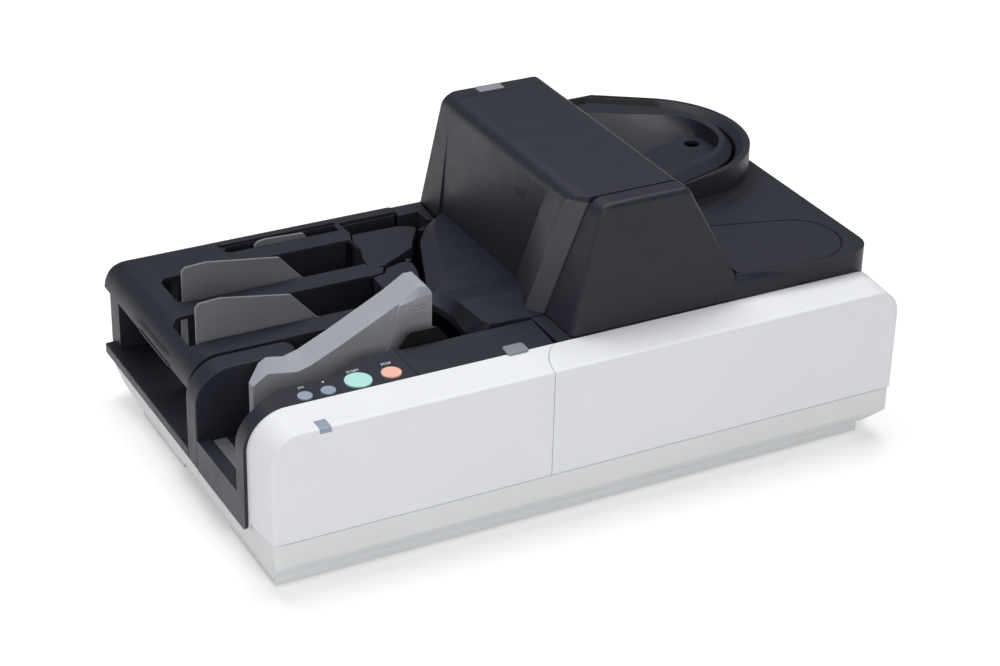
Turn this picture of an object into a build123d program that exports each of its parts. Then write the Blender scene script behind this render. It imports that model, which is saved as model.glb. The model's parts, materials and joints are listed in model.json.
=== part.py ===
from build123d import *
import os
from math import atan2, cos, degrees, radians, sin, tan

# A desktop cheque scanner: documents stand on edge in a feeder at the front left, run to
# the right through a scanning tower, round a U-turn at the right end and back along the
# rear into three pockets at the left.
#
# Millimetres. While modelling, x runs along the front from the left corner of the white
# front covers, y runs back from their front face and z rises from the table. The parts
# are shifted when they are written, so the origin is the middle of the footprint.

# ---------------------------------------------------------------- overall sizes
LENGTH = 524.0          # front covers, left corner to right end
POCKET_DEPTH = 330.0    # front face to the rear of the pocket side
REAR_STEP = 12.0        # the tower side reaches this far behind the pocket side
CASE_DEPTH = POCKET_DEPTH + REAR_STEP
FRAME_PROUD = 6.0       # dark left end stands out from the white corner
FEET_T = 2.0            # thickness of the rubber feet
RAIL_DROP = 9.0         # depth of the two rails under the lower case
BAND_Z = 25.0           # lower edge of the upright band of the lower case
SEAM_Z = 44.0           # top of the lower case
TOP_Z = 131.0           # top of the front covers and the control strip
ROOF_Z = 118.0          # top of the pocket roof and its guides
DECK_Z = 149.0          # deck to the right of the tower
RIM_Z = 174.0           # rim of the U-turn
TOWER_Z = 228.0         # top of the tower
FLOOR_Z = 60.0          # floor that the documents stand on
TRAY_Z = 46.0           # floor of the pockets
SKIN = 3.0              # wall of the mouldings
THIN = 2.5              # wall of the lighter mouldings
SLIT = 0.5              # visible gap between neighbouring covers
GAP = 0.35              # clearance between parts that move past each other
BORE_GAP = 0.05         # radial clearance of shafts in their bores

# ---------------------------------------------------------------- lower case
CASE_TAPER_F = 12.0     # the front undercut below the band
CASE_TAPER_L = 3.0
CASE_TAPER_R = 15.0
CASE_TAPER_B = 22.0
CASE_FLOOR = 4.0
RAIL_F0 = 14.0          # front rail, front edge
RAIL_F1 = 98.0
RAIL_R0 = 190.0         # rear rail, front edge
RAIL_R1 = 278.0
POST_D = 9.0            # posts that carry the chassis plate
CHASSIS_T = 2.0
FOOT_D = 20.0

# ---------------------------------------------------------------- front covers
COVER_Y = 38.0          # the front covers are this deep
COVER_R_FRONT = 22.0    # end radius at the front face
COVER_R_BACK = 30.0     # left end radius at the rear of the covers
COVER_R_RIGHT = 16.0    # right end radius at the rear of the covers
COVER_SPLAY = 3.4       # the left end widens by this towards the rear
COVER_SPLIT = 220.5     # joint of the two covers on the front face
COVER_SPLIT_TOP = 240.0  # joint at the rear edge of the top
LENS_X = 36.0
LENS_W = 9.0
LENS_TOP = 12.0         # reach of the lens over the top
LENS_DROP = 4.0         # reach of the lens down the front
LENS_T = 1.6

# ---------------------------------------------------------------- feeder
STRIP_SPLIT = 130.0     # joint between the control strip and the feeder cover
WALL_Y = 80.0           # front wall of the feeder channel
DIV_Y0 = 129.0          # divider between feeder and pockets, front
DIV_Y1 = 148.0
DIV_X1 = 76.0
DIV_R = 28.0
JOG_D = 11.3
START_D = 20.5
STOP_D = 15.2
BUTTON_PROUD = 1.2
BUTTON_TRAVEL = 1.5
BUTTON_FLANGE = 3.0
PIN_D = 2.0
COVER_HINGE_Y = 75.0    # hinge pin of the feeder cover
PUSH_Y0 = 101.0         # pusher, front face
PUSH_Y1 = 127.0
PUSH_X0 = 28.0
PUSH_X1 = 170.0
PUSH_TIP_Z = 165.0
PUSH_TRAVEL = 12.0
ROD_D = 6.0
ROD_Z = 51.0            # guide rod of the pusher
FOOT_X = 104.0          # foot of the pusher
SHAFT_D = 5.0
SHELF_Z = 108.0         # shelf that carries the roller shafts
PICK_X = 154.0          # pick roller
PICK_Y = 69.0
PICK_D = 29.0
FEED_X = 190.0          # feed roller
FEED_Y = 70.0
FEED_D = 20.0
TYRES_Z = (68.0, 88.0)
TYRE_H = 12.0
MOTOR_X = 216.0
MOTOR_Y = 67.0
MOTOR_D = 28.0
PULLEY_D = 12.0
PULLEY_Z = 112.0
PULLEY_H = 7.0
BELT_T = 1.0
BELT_W = 3.0
FLAP_X0 = 135.0
FLAP_X1 = 174.0
FLAP_Z = 142.0
FLAP_T = 2.0

# ---------------------------------------------------------------- pockets
ROOF_Y0 = 151.5
ROOF_R = 25.0
REAR_R = 12.0
LIP_Z = 94.0            # lower edge of the roof at the left
PLATE_T = 2.0           # stacker plates
PIVOT_D = 3.0
PIVOT_BACK = 10.0       # from the right end of the slot
RIDGE_Z = 2.5

# ---------------------------------------------------------------- document track
LEG_ANGLE = 17.0        # front leg of the U-turn, from the x axis
TAIL_ANGLE = 32.5       # rear leg of the U-turn, from the x axis
NOSE_X = LENGTH - 84    # centre of the nose of the U-turn
NOSE_Y = CASE_DEPTH - 98
GROOVE_R = 71.0         # middle of the document groove
GROOVE_W = 3.4
RIM_R = 84.0            # outside of the rim
CREST_DROP = 6.0        # the groove's edges lie this far below the crests
CREST_W = 6.0
RECESS_X1 = NOSE_X + 58  # right end of the recess in the island
RECESS_R = 42.0
RECESS_FLOOR_R = 12.0
RECESS_Z = 160.0
HOLE_D = 13.0
LOOP_X0 = LENGTH - 122  # left end of the parts of the U-turn above the deck
TAIL_X0 = 305.0         # left end of the rear leg
TAIL_Y = CASE_DEPTH - 9  # the rear leg runs along the rear wall here
TAIL_FRONT = CASE_DEPTH - 31
TAIL_TOP = 140.0
TAIL_Z = 96.0           # the rear leg is open below this
HOLE_X = NOSE_X + 44
HOLE_Y = NOSE_Y + 1
TRACK_TOP = 112.0       # top of the walls inside the tower
WINDOWS = ((285.0, 303.0), (335.0, 353.0))
GATE_D = 4.4
GATE_Z = 114.0

# ---------------------------------------------------------------- tower
LEAN = 0.14             # rearward lean of the tower's seams per mm of height
HOOD_X = 271.0          # upright left face of the hood
TOWER_TOP_X1 = 358.0
TOWER_FOOT_X0 = 244.0
TOWER_FOOT_X1 = 400.0
CAP_TOP_X0 = 272.0
CAP_TOP_Y = 50.0
CAP_SEAM_Y = 81.0       # seam of cap and stripe at the height of the front covers
STRIPE_W = 14.0
CAP_SET = 11.0          # the cap's left flank stands back from the hood's, across the stripe
HOOD_REAR_Y = 285.0     # rear seam at the height of the hood's lower edge
HOOD_Z = 125.0          # lower edge of the hood's left face
TOWER_R = 12.0
HOOD_PIVOT_X = 396.0    # hinge axis of the hood, at HOOD_PIVOT_Y
HOOD_PIVOT_Y = 175.0
HOOD_PIVOT_Z = 168.0
HINGE_D = 4.0
HINGE_EYES = (127.0, 266.0)
HINGE_LUGS = (138.0, 255.0)
EYE_W = 10.0
TOWER_REAR_FOOT = 319.0  # rear face of the tower at roof height
TOWER_REAR_TOP = 285.0
TRACK_FACET_Z = 131.0   # front facet of the cover beside the tower
LATCH_Y = 274.0
LATCH_X = 299.0
LATCH_W = 23.0
LATCH_L = 11.0

# ---------------------------------------------------------------- deck
LEAF_X1 = LENGTH - 13
LEAF_Y = 75.5
LEAF_R = 34.5
DECK_KNEE_X = LENGTH - 77  # the deck's front edge bends here
DECK_FRONT = 45.0       # front edge of the deck beside the tower
DECK_R = 20.0           # front right corner
LEAF_FLOOR = 120.0      # floor of the space under the leaf cover
LEAF_PIVOT_X = 407.5
LEAF_PIVOT_Z = 143.5
LEAF_EARS = ((53.0, 57.0), (121.0, 125.0))

# ---------------------------------------------------------------- rear
SWITCH_X = 318.0
INLET_X = 340.0
USB_X = 378.0

# ---------------------------------------------------------------- derived
RAIL_Z = FEET_T
CASE_Z = FEET_T + RAIL_DROP
CHASSIS_Z = SEAM_Z - CHASSIS_T
MID_X = (LENGTH - FRAME_PROUD) / 2
MID_Y = CASE_DEPTH / 2
LEG = radians(LEG_ANGLE)
TAIL = radians(TAIL_ANGLE)


def box(x0, x1, y0, y1, z0, z1):
    """A box between two corners."""
    solid = Box(x1 - x0, y1 - y0, z1 - z0)
    return Pos((x0 + x1) / 2, (y0 + y1) / 2, (z0 + z1) / 2) * solid


def outline(points, radius=0.0):
    """A face from corner points, each corner rounded by one radius or a list."""
    if isinstance(radius, list) or radius > 0:
        wire = FilletPolyline(*points, radius=radius, close=True)
        return make_face(wire.edges())
    return make_face(Polyline(*points, close=True).edges())


def prism_z(points, z0, z1, radius=0.0):
    """Plan outline (x, y) raised from z0 to z1."""
    return Pos(0, 0, z0) * extrude(outline(points, radius), z1 - z0)


def prism_y(points, y0, y1, radius=0.0):
    """Outline (x, z) seen from the front, extruded from y0 to y1."""
    plane = Plane(origin=(0, y0, 0), x_dir=(1, 0, 0), z_dir=(0, -1, 0))
    return extrude(plane * outline(points, radius), -(y1 - y0))


def prism_x(points, x0, x1, radius=0.0):
    """Outline (y, z) seen from the left end, extruded from x0 to x1."""
    plane = Plane(origin=(x0, 0, 0), x_dir=(0, 1, 0), z_dir=(1, 0, 0))
    return extrude(plane * outline(points, radius), x1 - x0)


def rod_z(x, y, z0, z1, d):
    """Upright round bar."""
    return Pos(x, y, (z0 + z1) / 2) * Cylinder(d / 2, z1 - z0)


def rod_x(y, z, x0, x1, d):
    """Round bar along x."""
    return Pos((x0 + x1) / 2, y, z) * Rot(0, 90, 0) * Cylinder(d / 2, x1 - x0)


def rod_y(x, z, y0, y1, d):
    """Round bar along y."""
    return Pos(x, (y0 + y1) / 2, z) * Rot(90, 0, 0) * Cylinder(d / 2, y1 - y0)


def tube_z(x, y, z0, z1, d, bore):
    """Upright ring."""
    return rod_z(x, y, z0, z1, d) - rod_z(x, y, z0 - 1, z1 + 1, bore)


# ================================================================ lower case
def case_sides(inset):
    """Solid lower case, each wall moved in by inset."""
    back = POCKET_DEPTH - 2 - inset
    side = prism_x([
        (inset, SEAM_Z), (inset, BAND_Z), (CASE_TAPER_F + inset, CASE_Z),
        (RAIL_R1, CASE_Z), (back - CASE_TAPER_B + 4, CASE_Z + 5), (back - 3, BAND_Z + 3),
        (back, BAND_Z + 12), (back, SEAM_Z)], -20, LENGTH + 20)
    front = prism_y([
        (inset, SEAM_Z), (inset, BAND_Z), (CASE_TAPER_L + inset, CASE_Z),
        (LENGTH - CASE_TAPER_R - inset, CASE_Z), (LENGTH - inset, BAND_Z),
        (LENGTH - inset, SEAM_Z)], -20, CASE_DEPTH + 20)
    return side & front


POSTS = [(30, 60), (250, 60), (490, 60), (30, 300), (250, 300), (490, 300)]


def base_casing():
    """Off-white lower case: an open tray with two rails below and posts inside."""
    body = case_sides(0)
    corners = body.edges().filter_by(Axis.Z).group_by(Axis.Y)[0]
    body = fillet(corners, 6)
    hollow = case_sides(SKIN) & box(0, LENGTH, 0, CASE_DEPTH, CASE_Z + CASE_FLOOR, SEAM_Z)
    body = body - hollow
    left = CASE_TAPER_L + 3
    right = LENGTH - CASE_TAPER_R - 4
    body += box(left, right, RAIL_F0, RAIL_F1, RAIL_Z, CASE_Z + 1)
    body += box(left, right, RAIL_R0, RAIL_R1, RAIL_Z, CASE_Z + 1)
    for x, y in POSTS:
        body += rod_z(x, y, CASE_Z, CHASSIS_Z, POST_D)
        body -= rod_z(x, y, CHASSIS_Z - 12, CHASSIS_Z + 1, 3.0)
    for x in (150, 210):
        for y in (195, 265):
            body += rod_z(x, y, CASE_Z, CASE_Z + CASE_FLOOR + 7, 7)
    return body


def rubber_feet():
    """Four round rubber feet under the rails."""
    spots = [(26, 40), (LENGTH - 36, 40), (26, 250), (LENGTH - 36, 250)]
    return [rod_z(x, y, 0, RAIL_Z, FOOT_D) for x, y in spots]


def chassis_plate():
    """Steel plate on the posts; everything above stands on it."""
    plate = box(SKIN + 1, LENGTH - SKIN - 1, SKIN + 1, POCKET_DEPTH - SKIN - 4,
                CHASSIS_Z, SEAM_Z)
    for x, y in POSTS:
        plate -= rod_z(x, y, CHASSIS_Z - 1, SEAM_Z + 1, 3.4)
    plate -= box(96, 250, 190, 270, CHASSIS_Z - 1, SEAM_Z + 1)
    return plate


def chassis_screws():
    """Pan-head screws that hold the chassis plate to the posts."""
    screws = []
    for x, y in POSTS:
        head = rod_z(x, y, SEAM_Z, SEAM_Z + 2, 6)
        shank = rod_z(x, y, CHASSIS_Z - 8, SEAM_Z + 0.5, 2.8)
        cross = box(x - 1.8, x + 1.8, y - 0.4, y + 0.4, SEAM_Z + 1, SEAM_Z + 3)
        cross += box(x - 0.4, x + 0.4, y - 1.8, y + 1.8, SEAM_Z + 1, SEAM_Z + 3)
        screws.append(head + shank - cross)
    return screws


def main_board():
    """Controller board on four stand-offs in the lower case."""
    z = CASE_Z + CASE_FLOOR + 7
    board = box(143, 247, 188, 272, z, z + 1.6)
    board += box(160, 184, 205, 229, z + 1, z + 4)
    board += box(196, 214, 240, 252, z + 1, z + 3.6)
    board += box(226, 240, 195, 262, z + 1, z + 9)
    board += box(150, 156, 240, 266, z + 1, z + 8)
    for y in (210, 226):
        board += rod_z(206, y, z + 1, z + 11, 8)
    return board


# ================================================================ front covers
def cover_block(inset, y0, y1):
    """Both front covers as one block with rounded ends, walls moved in by inset."""
    faces = []
    for y in (y0, y1):
        share = y / COVER_Y
        left = inset - COVER_SPLAY * share
        r = COVER_R_FRONT + (COVER_R_BACK - COVER_R_FRONT) * share - inset
        rr = COVER_R_FRONT + (COVER_R_RIGHT - COVER_R_FRONT) * share - inset
        right = LENGTH - inset
        top = TOP_Z - inset
        plane = Plane(origin=(0, y, 0), x_dir=(1, 0, 0), z_dir=(0, -1, 0))
        foot = SEAM_Z + SLIT
        arch = Polyline((left, top - r), (left, foot), (right, foot), (right, top - rr))
        arch += RadiusArc((left, top - r), (left + r, top), r)
        arch += Line((left + r, top), (right - rr, top))
        arch += RadiusArc((right - rr, top), (right, top - rr), rr)
        faces.append(plane * make_face(arch.edges()))
    return loft(faces, ruled=True)


def cover_path(shift):
    """The curved joint of the front covers in plan, moved along x by shift."""
    foot = (COVER_SPLIT + shift, -5)
    front = (COVER_SPLIT + shift, 0)
    back = (COVER_SPLIT_TOP + shift, COVER_Y)
    mid = (COVER_SPLIT + 0.28 * (COVER_SPLIT_TOP - COVER_SPLIT) + shift, COVER_Y * 0.53)
    return Line(foot, front) + ThreePointArc(front, mid, back)


def cover_shell():
    """Shell of both covers, open to the rear and below."""
    solid = cover_block(0, 0, COVER_Y)
    rim = [e for e in solid.edges() if e.bounding_box().max.Y < 0.01
           and e.bounding_box().max.Z > SEAM_Z + 1]
    solid = fillet(rim, 2.5)
    hollow = cover_block(SKIN, SKIN, COVER_Y + 5)
    hollow += box(SKIN, LENGTH - SKIN, SKIN, COVER_Y + 5, SEAM_Z - 1, SEAM_Z + 5)
    return solid - hollow


def split_region(left):
    """Plan region on one side of the covers' joint."""
    half = SLIT / 2
    if left:
        path = cover_path(-half)
        far = -30
        end = COVER_SPLIT_TOP - half
        start = COVER_SPLIT - half
    else:
        path = cover_path(half)
        far = LENGTH + 30
        end = COVER_SPLIT_TOP + half
        start = COVER_SPLIT + half
    path += Polyline((end, COVER_Y), (far, COVER_Y), (far, -5), (start, -5))
    return extrude(make_face(path.edges()), 300)


def lens_block(clear):
    """The indicator lens: an angle over the top front edge of the left cover."""
    x0 = LENS_X - clear
    x1 = LENS_X + LENS_W + clear
    y1 = LENS_TOP + clear
    z0 = TOP_Z - LENS_DROP - clear
    angle = prism_x([
        (0, z0), (LENS_T + clear, z0), (LENS_T + clear, TOP_Z - LENS_T - clear),
        (y1, TOP_Z - LENS_T - clear), (y1, TOP_Z), (0, TOP_Z)], x0, x1)
    return angle & cover_block(0, 0, COVER_Y)


def front_left_cover():
    """White cover below the control strip."""
    shell = cover_shell() & split_region(True)
    return shell - lens_block(0)


def lens():
    """Pale blue indicator lens."""
    body = lens_block(0)
    edge = [e for e in body.edges() if e.bounding_box().max.Y < 0.01
            and e.bounding_box().min.Z > TOP_Z - 0.01]
    return fillet(edge, LENS_T)


def front_right_cover():
    """White cover below the tower and the deck."""
    return cover_shell() & split_region(False)


# ================================================================ left end and feeder
def left_arch(out, y0, y1, z0, inset=0.0):
    """Front view outline of the dark left end: an upright with a rounded shoulder."""
    r = COVER_R_BACK - inset
    left = -out + inset
    top = TOP_Z - inset
    line = Polyline((left + r, top), (400, top), (400, z0), (left, z0), (left, top - r))
    line += RadiusArc((left, top - r), (left + r, top), r)
    plane = Plane(origin=(0, y0, 0), x_dir=(1, 0, 0), z_dir=(0, -1, 0))
    return extrude(plane * make_face(line.edges()), -(y1 - y0))


def strip_plan(inset):
    """Plan outline of the control strip; inset moves its rear and right edges in."""
    x1 = STRIP_SPLIT - SLIT / 2 - inset
    return [
        (-FRAME_PROUD - 1, COVER_Y), (x1, COVER_Y), (x1, WALL_Y - inset),
        (104 + inset * 0.3, WALL_Y - inset), (92, WALL_Y - 7 - inset),
        (79, WALL_Y - 17 - inset), (32, WALL_Y - 17 - inset), (24, WALL_Y - 20 - inset),
        (17, WALL_Y - 25 - inset), (10, WALL_Y - 28 - inset),
        (-FRAME_PROUD - 1, WALL_Y - 28 - inset)]


BUTTON_Y = 50.0
BUTTONS = [("button_jog", 45.0, 46.0, JOG_D), ("button_up", 63.0, 46.0, JOG_D),
           ("button_start", 88.0, BUTTON_Y, START_D), ("button_stop", 114.0, 50.0, STOP_D)]


def end_frame():
    """Control strip, front wall of the feeder and the sill at the left end."""
    body = prism_z(strip_plan(0), FLOOR_Z, TOP_Z + 1)
    body = body & left_arch(FRAME_PROUD, 0, 200, FLOOR_Z - 30)
    hollow = prism_z(strip_plan(THIN), FLOOR_Z - 5, TOP_Z - THIN)
    hollow = hollow & left_arch(FRAME_PROUD, 0, 200, FLOOR_Z - 30, THIN)
    hollow += box(SKIN + 5, STRIP_SPLIT - 5, COVER_Y - 1, COVER_Y + 5, FLOOR_Z - 5,
                  TOP_Z - THIN)
    body = body - hollow
    sill = prism_x([(COVER_Y + 3, 37), (DIV_Y0 - SLIT, 37), (DIV_Y0 - SLIT, FLOOR_Z + 3),
                    (WALL_Y - 28, FLOOR_Z + 3), (WALL_Y - 28, FLOOR_Z + 10),
                    (COVER_Y, FLOOR_Z + 10), (COVER_Y, 40)],
                   -FRAME_PROUD, -FRAME_PROUD + THIN)
    sill += box(-FRAME_PROUD + 1, 4, WALL_Y - 28, DIV_Y0 - SLIT, FLOOR_Z, FLOOR_Z + 3)
    body += sill
    for name, x, y, d in BUTTONS:
        body -= rod_z(x, y, TOP_Z - 10, TOP_Z + 5, d + 2 * GAP)
    body -= rod_x(COVER_HINGE_Y, TOP_Z - 3.5, STRIP_SPLIT - 5, STRIP_SPLIT + 1,
                  PIN_D + 2 * BORE_GAP)
    return body


def button(x, y, d):
    """Round key with a flange that stops it under the control strip."""
    under = TOP_Z - THIN
    cap = rod_z(x, y, under - 4.5, TOP_Z + BUTTON_PROUD, d)
    top = cap.edges().group_by(Axis.Z)[-1]
    cap = fillet(top, 0.8)
    flange = rod_z(x, y, under - GAP - 2, under - GAP, d + BUTTON_FLANGE)
    flange = flange & box(x - d, x + d, COVER_Y + GAP, y + d, 0, TOP_Z)
    return cap + flange


def button_board():
    """Key board under the control strip, with one switch below each key."""
    z = TOP_Z - THIN - 4.5 - BUTTON_TRAVEL - GAP
    board = box(36, 125, 41, 60, z - 5.6, z - 4)
    for name, x, y, d in BUTTONS:
        board += box(x - 3, x + 3, y - 3, y + 3, z - 4.5, z - 1)
        board += rod_z(x, y, z - 1.5, z, 3.4)
    for x in (54, 101):
        board += rod_z(x, 57.5, z - 4.5, TOP_Z - THIN, 3)
    return board


def feeder_floor():
    """Floor of the feeder channel with a slot for the pusher's foot and its legs."""
    left = -FRAME_PROUD + THIN + 0.1
    floor = box(left, 243, WALL_Y - 28, DIV_Y0 - SLIT, FLOOR_Z - 3, FLOOR_Z)
    floor -= box(132, 245, WALL_Y - 29, WALL_Y, FLOOR_Z - 4, FLOOR_Z + 1)
    floor -= box(FOOT_X - 8, FOOT_X + 8, PUSH_Y0 - PUSH_TRAVEL - 2, DIV_Y0 - 4,
                 FLOOR_Z - 4, FLOOR_Z + 1)
    floor -= box(6, 17.5, WALL_Y + 2.5, DIV_Y0 - 0.8, FLOOR_Z - 2.6, FLOOR_Z + 1)
    for x in (20, 124, 232):
        floor += box(x, x + 4, WALL_Y + 3, DIV_Y0 - SLIT, SEAM_Z, FLOOR_Z - 2)
    for y in (WALL_Y + 3, DIV_Y0 - 4):
        boss = box(FOOT_X - 8, FOOT_X + 8, y, y + 3, SEAM_Z, FLOOR_Z - 2)
        floor += boss
    floor -= rod_y(FOOT_X, ROD_Z, WALL_Y, DIV_Y0 + 1, ROD_D)
    return floor


def feeder_strip():
    """Grey wear strip at the mouth of the feeder."""
    return box(6.3, 17.2, WALL_Y + 2.8, DIV_Y0 - 1.1, FLOOR_Z - 2.6, FLOOR_Z + 0.4)


def feeder_cover():
    """Hinged cover over the feed rollers; its front edge lifts."""
    x0 = STRIP_SPLIT + SLIT / 2
    plan = [(x0, COVER_Y + GAP), (COVER_SPLIT_TOP + 0.2, COVER_Y + GAP),
            (COVER_SPLIT_TOP + 3.0, WALL_Y - 0.7), (x0, WALL_Y - 0.7)]
    plate = prism_z(plan, TOP_Z - THIN, TOP_Z)
    rear = [e for e in plate.edges().filter_by(Axis.X)
            if e.bounding_box().min.Y > WALL_Y - 1 and e.bounding_box().min.Z > TOP_Z - 1]
    plate = fillet(rear, THIN - 0.3)
    hinge_z = TOP_Z - 3.5
    for a, b in ((137, 146), (225, 235)):
        plate += rod_x(COVER_HINGE_Y, hinge_z, a, b, PIN_D + 3)
        plate += box(a, b, COVER_HINGE_Y - 3, COVER_HINGE_Y + 2, hinge_z, TOP_Z - 1)
    plate -= rod_x(COVER_HINGE_Y, hinge_z, 120, 250, PIN_D + 2 * BORE_GAP)
    for a, b in ((130, 136.4), (235.6, 245)):
        plate -= rod_x(COVER_HINGE_Y, hinge_z, a, b, PIN_D + 2 + 2 * GAP)
    return plate


def feeder_cover_tab():
    """Pale finger tab at the front edge of the feeder cover."""
    tab = box(201, 218, COVER_Y - 3, COVER_Y + 9, TOP_Z, TOP_Z + 2.4)
    tab = fillet(tab.edges().filter_by(Axis.Z), 2.5)
    return fillet(tab.faces().sort_by(Axis.Z)[-1].edges(), 0.9)


def feeder_hinge_pin():
    """Steel pin of the feeder cover."""
    return rod_x(COVER_HINGE_Y, TOP_Z - 3.5, STRIP_SPLIT - 2.5, 240, PIN_D)


def feed_bracket():
    """Bracket behind the front covers that carries the feed rollers and the pin."""
    hinge_z = TOP_Z - 3.5
    body = box(132, 240, 46, 49, SEAM_Z, TOP_Z - 8)
    body += box(132, 240, 46, 78, SEAM_Z, SEAM_Z + 3)
    body += box(132, 240, 46, 78, SHELF_Z, SHELF_Z + 3)
    for a, b in ((132, 136), (236, 240)):
        body += box(a, b, 46, COVER_HINGE_Y, SHELF_Z, hinge_z)
        body += rod_x(COVER_HINGE_Y, hinge_z, a, b, PIN_D + 2)
    body -= rod_x(COVER_HINGE_Y, hinge_z, 125, 250, PIN_D + 2 * BORE_GAP)
    for x, y in ((PICK_X, PICK_Y), (FEED_X, FEED_Y), (MOTOR_X, MOTOR_Y)):
        body -= rod_z(x, y, SEAM_Z + 1, SHELF_Z + 5, SHAFT_D + 2 * BORE_GAP)
    return body


def spindle(x, y):
    """Roller shaft with its two-groove pulley above the bracket's shelf."""
    shaft = rod_z(x, y, SEAM_Z + 1, PULLEY_Z + PULLEY_H, SHAFT_D)
    return shaft + rod_z(x, y, PULLEY_Z, PULLEY_Z + PULLEY_H, PULLEY_D)


def tyres(x, y, d):
    """Two rubber tyres of a roller."""
    rings = []
    for z in TYRES_Z:
        ring = tube_z(x, y, z, z + TYRE_H, d, SHAFT_D)
        rings.append(ring)
    return rings


def drive_motor():
    """Small motor hung under the shelf of the bracket."""
    body = rod_z(MOTOR_X, MOTOR_Y, SHELF_Z - 42, SHELF_Z, MOTOR_D)
    body = chamfer(body.edges().filter_by(GeomType.CIRCLE), 1.0)
    return body - rod_z(MOTOR_X, MOTOR_Y, SHELF_Z - 20, SHELF_Z + 1, SHAFT_D + 2 * BORE_GAP)


def motor_shaft():
    """Motor shaft with its pulley."""
    shaft = rod_z(MOTOR_X, MOTOR_Y, SHELF_Z - 19, PULLEY_Z + PULLEY_H, SHAFT_D)
    return shaft + rod_z(MOTOR_X, MOTOR_Y, PULLEY_Z, PULLEY_Z + PULLEY_H, PULLEY_D)


def belt(x0, y0, x1, y1, z):
    """Flat belt round two equal pulleys."""
    run = PULLEY_D / 2 + GAP
    length = ((x1 - x0) ** 2 + (y1 - y0) ** 2) ** 0.5
    centre = Pos((x0 + x1) / 2, (y0 + y1) / 2, z)
    turn = degrees(atan2(y1 - y0, x1 - x0))
    outer = SlotCenterToCenter(length, 2 * (run + BELT_T))
    inner = SlotCenterToCenter(length, 2 * run)
    return centre * Rot(0, 0, turn) * extrude(outer - inner, BELT_W)


def drive_belts():
    """Belt from the motor to the feed roller and from there to the pick roller."""
    lower = belt(FEED_X, FEED_Y, MOTOR_X, MOTOR_Y, PULLEY_Z + 0.2)
    upper = belt(PICK_X, PICK_Y, FEED_X, FEED_Y, PULLEY_Z + BELT_W + 0.6)
    return [lower, upper]


def feed_guide():
    """Black plate that continues the channel wall and holds the roller windows."""
    rise = FLAP_Z - TOP_Z
    plate = prism_y([
        (STRIP_SPLIT, FLOOR_Z), (FLAP_X1 + 6, FLOOR_Z), (FLAP_X1 + 6, TOP_Z - 7),
        (FLAP_X1, TOP_Z - 7), (FLAP_X1, TOP_Z), (FLAP_X1 - 9, FLAP_Z),
        (FLAP_X0 + 7, FLAP_Z), (FLAP_X0, TOP_Z + rise * 0.1), (FLAP_X0, TOP_Z - 7),
        (STRIP_SPLIT, TOP_Z - 7)],
        WALL_Y + 0.3, WALL_Y + 0.3 + FLAP_T,
        [0.0, 0.0, 0.0, 0.0, 3.0, 4.0, 4.0, 3.0, 0.0, 0.0])
    for z in TYRES_Z:
        plate -= box(PICK_X - 10, PICK_X + 10, WALL_Y - 1, WALL_Y + 4, z - 1, z + TYRE_H + 1)
    plate += box(FLAP_X0, FLAP_X1 + 4, WALL_Y - 2, WALL_Y + 1, SHELF_Z, SHELF_Z + 3)
    return plate


# ================================================================ pusher
def pusher():
    """Grey document pusher with a rising top edge and a grip."""
    tip = PUSH_TIP_Z
    body = prism_y([
        (PUSH_X0, FLOOR_Z + 1.5), (PUSH_X1, FLOOR_Z + 1.5), (PUSH_X1, tip - 4),
        (PUSH_X1 - 3, tip), (PUSH_X1 - 10, tip), (PUSH_X1 - 28, tip - 11),
        (PUSH_X1 - 72, tip - 33), (PUSH_X1 - 96, tip - 44), (PUSH_X1 - 107, tip - 47),
        (PUSH_X0 + 12, tip - 43), (PUSH_X0, tip - 51)], PUSH_Y0, PUSH_Y1)
    hollow = prism_y([
        (PUSH_X0 + SKIN, FLOOR_Z), (PUSH_X1 - SKIN, FLOOR_Z), (PUSH_X1 - SKIN, tip - 14),
        (PUSH_X1 - 28, tip - 18), (PUSH_X1 - 72, tip - 38), (PUSH_X1 - 100, tip - 51),
        (PUSH_X0 + SKIN, tip - 55)], PUSH_Y0 + SKIN, PUSH_Y1 - SKIN)
    corner = prism_z([(PUSH_X0 - 5, PUSH_Y0 + 3), (PUSH_X0 + 26, PUSH_Y1 + 4),
                      (PUSH_X0 - 5, PUSH_Y1 + 4)], FLOOR_Z - 1, tip)
    body -= corner
    body -= hollow - Pos(2, -2, 0) * corner
    grip = prism_y([
        (PUSH_X1 - 52, FLOOR_Z + 1.5), (PUSH_X1, FLOOR_Z + 1.5), (PUSH_X1, tip - 5),
        (PUSH_X1 - 26, tip - 7)], PUSH_Y0 - 3, PUSH_Y0)
    body += grip
    for z in range(4):
        low = tip - 14 + 3 * z - 6
        body += box(PUSH_X1 - 22 + 2 * z, PUSH_X1 - 5, PUSH_Y0 - 3.8, PUSH_Y0 - 2.5,
                    low, low + 1.4)
    body += box(PUSH_X0 + 22, FOOT_X + 8, PUSH_Y0 + 4, PUSH_Y1 - 3, FLOOR_Z + 1.5, FLOOR_Z + 4.5)
    body += box(FOOT_X - 5, FOOT_X + 5, PUSH_Y0 + 4, PUSH_Y1 - 4, ROD_Z, FLOOR_Z + 3)
    body += box(FOOT_X - 6, FOOT_X + 6, PUSH_Y0 + 1, PUSH_Y1 - 4, ROD_Z - 5, ROD_Z + 5)
    body -= rod_y(FOOT_X, ROD_Z, WALL_Y, DIV_Y0 + 1, ROD_D + 2 * BORE_GAP)
    return body


def pusher_rod():
    """Steel guide rod of the pusher, below the feeder floor."""
    return rod_y(FOOT_X, ROD_Z, WALL_Y + 3, DIV_Y0 - 1, ROD_D)


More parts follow.
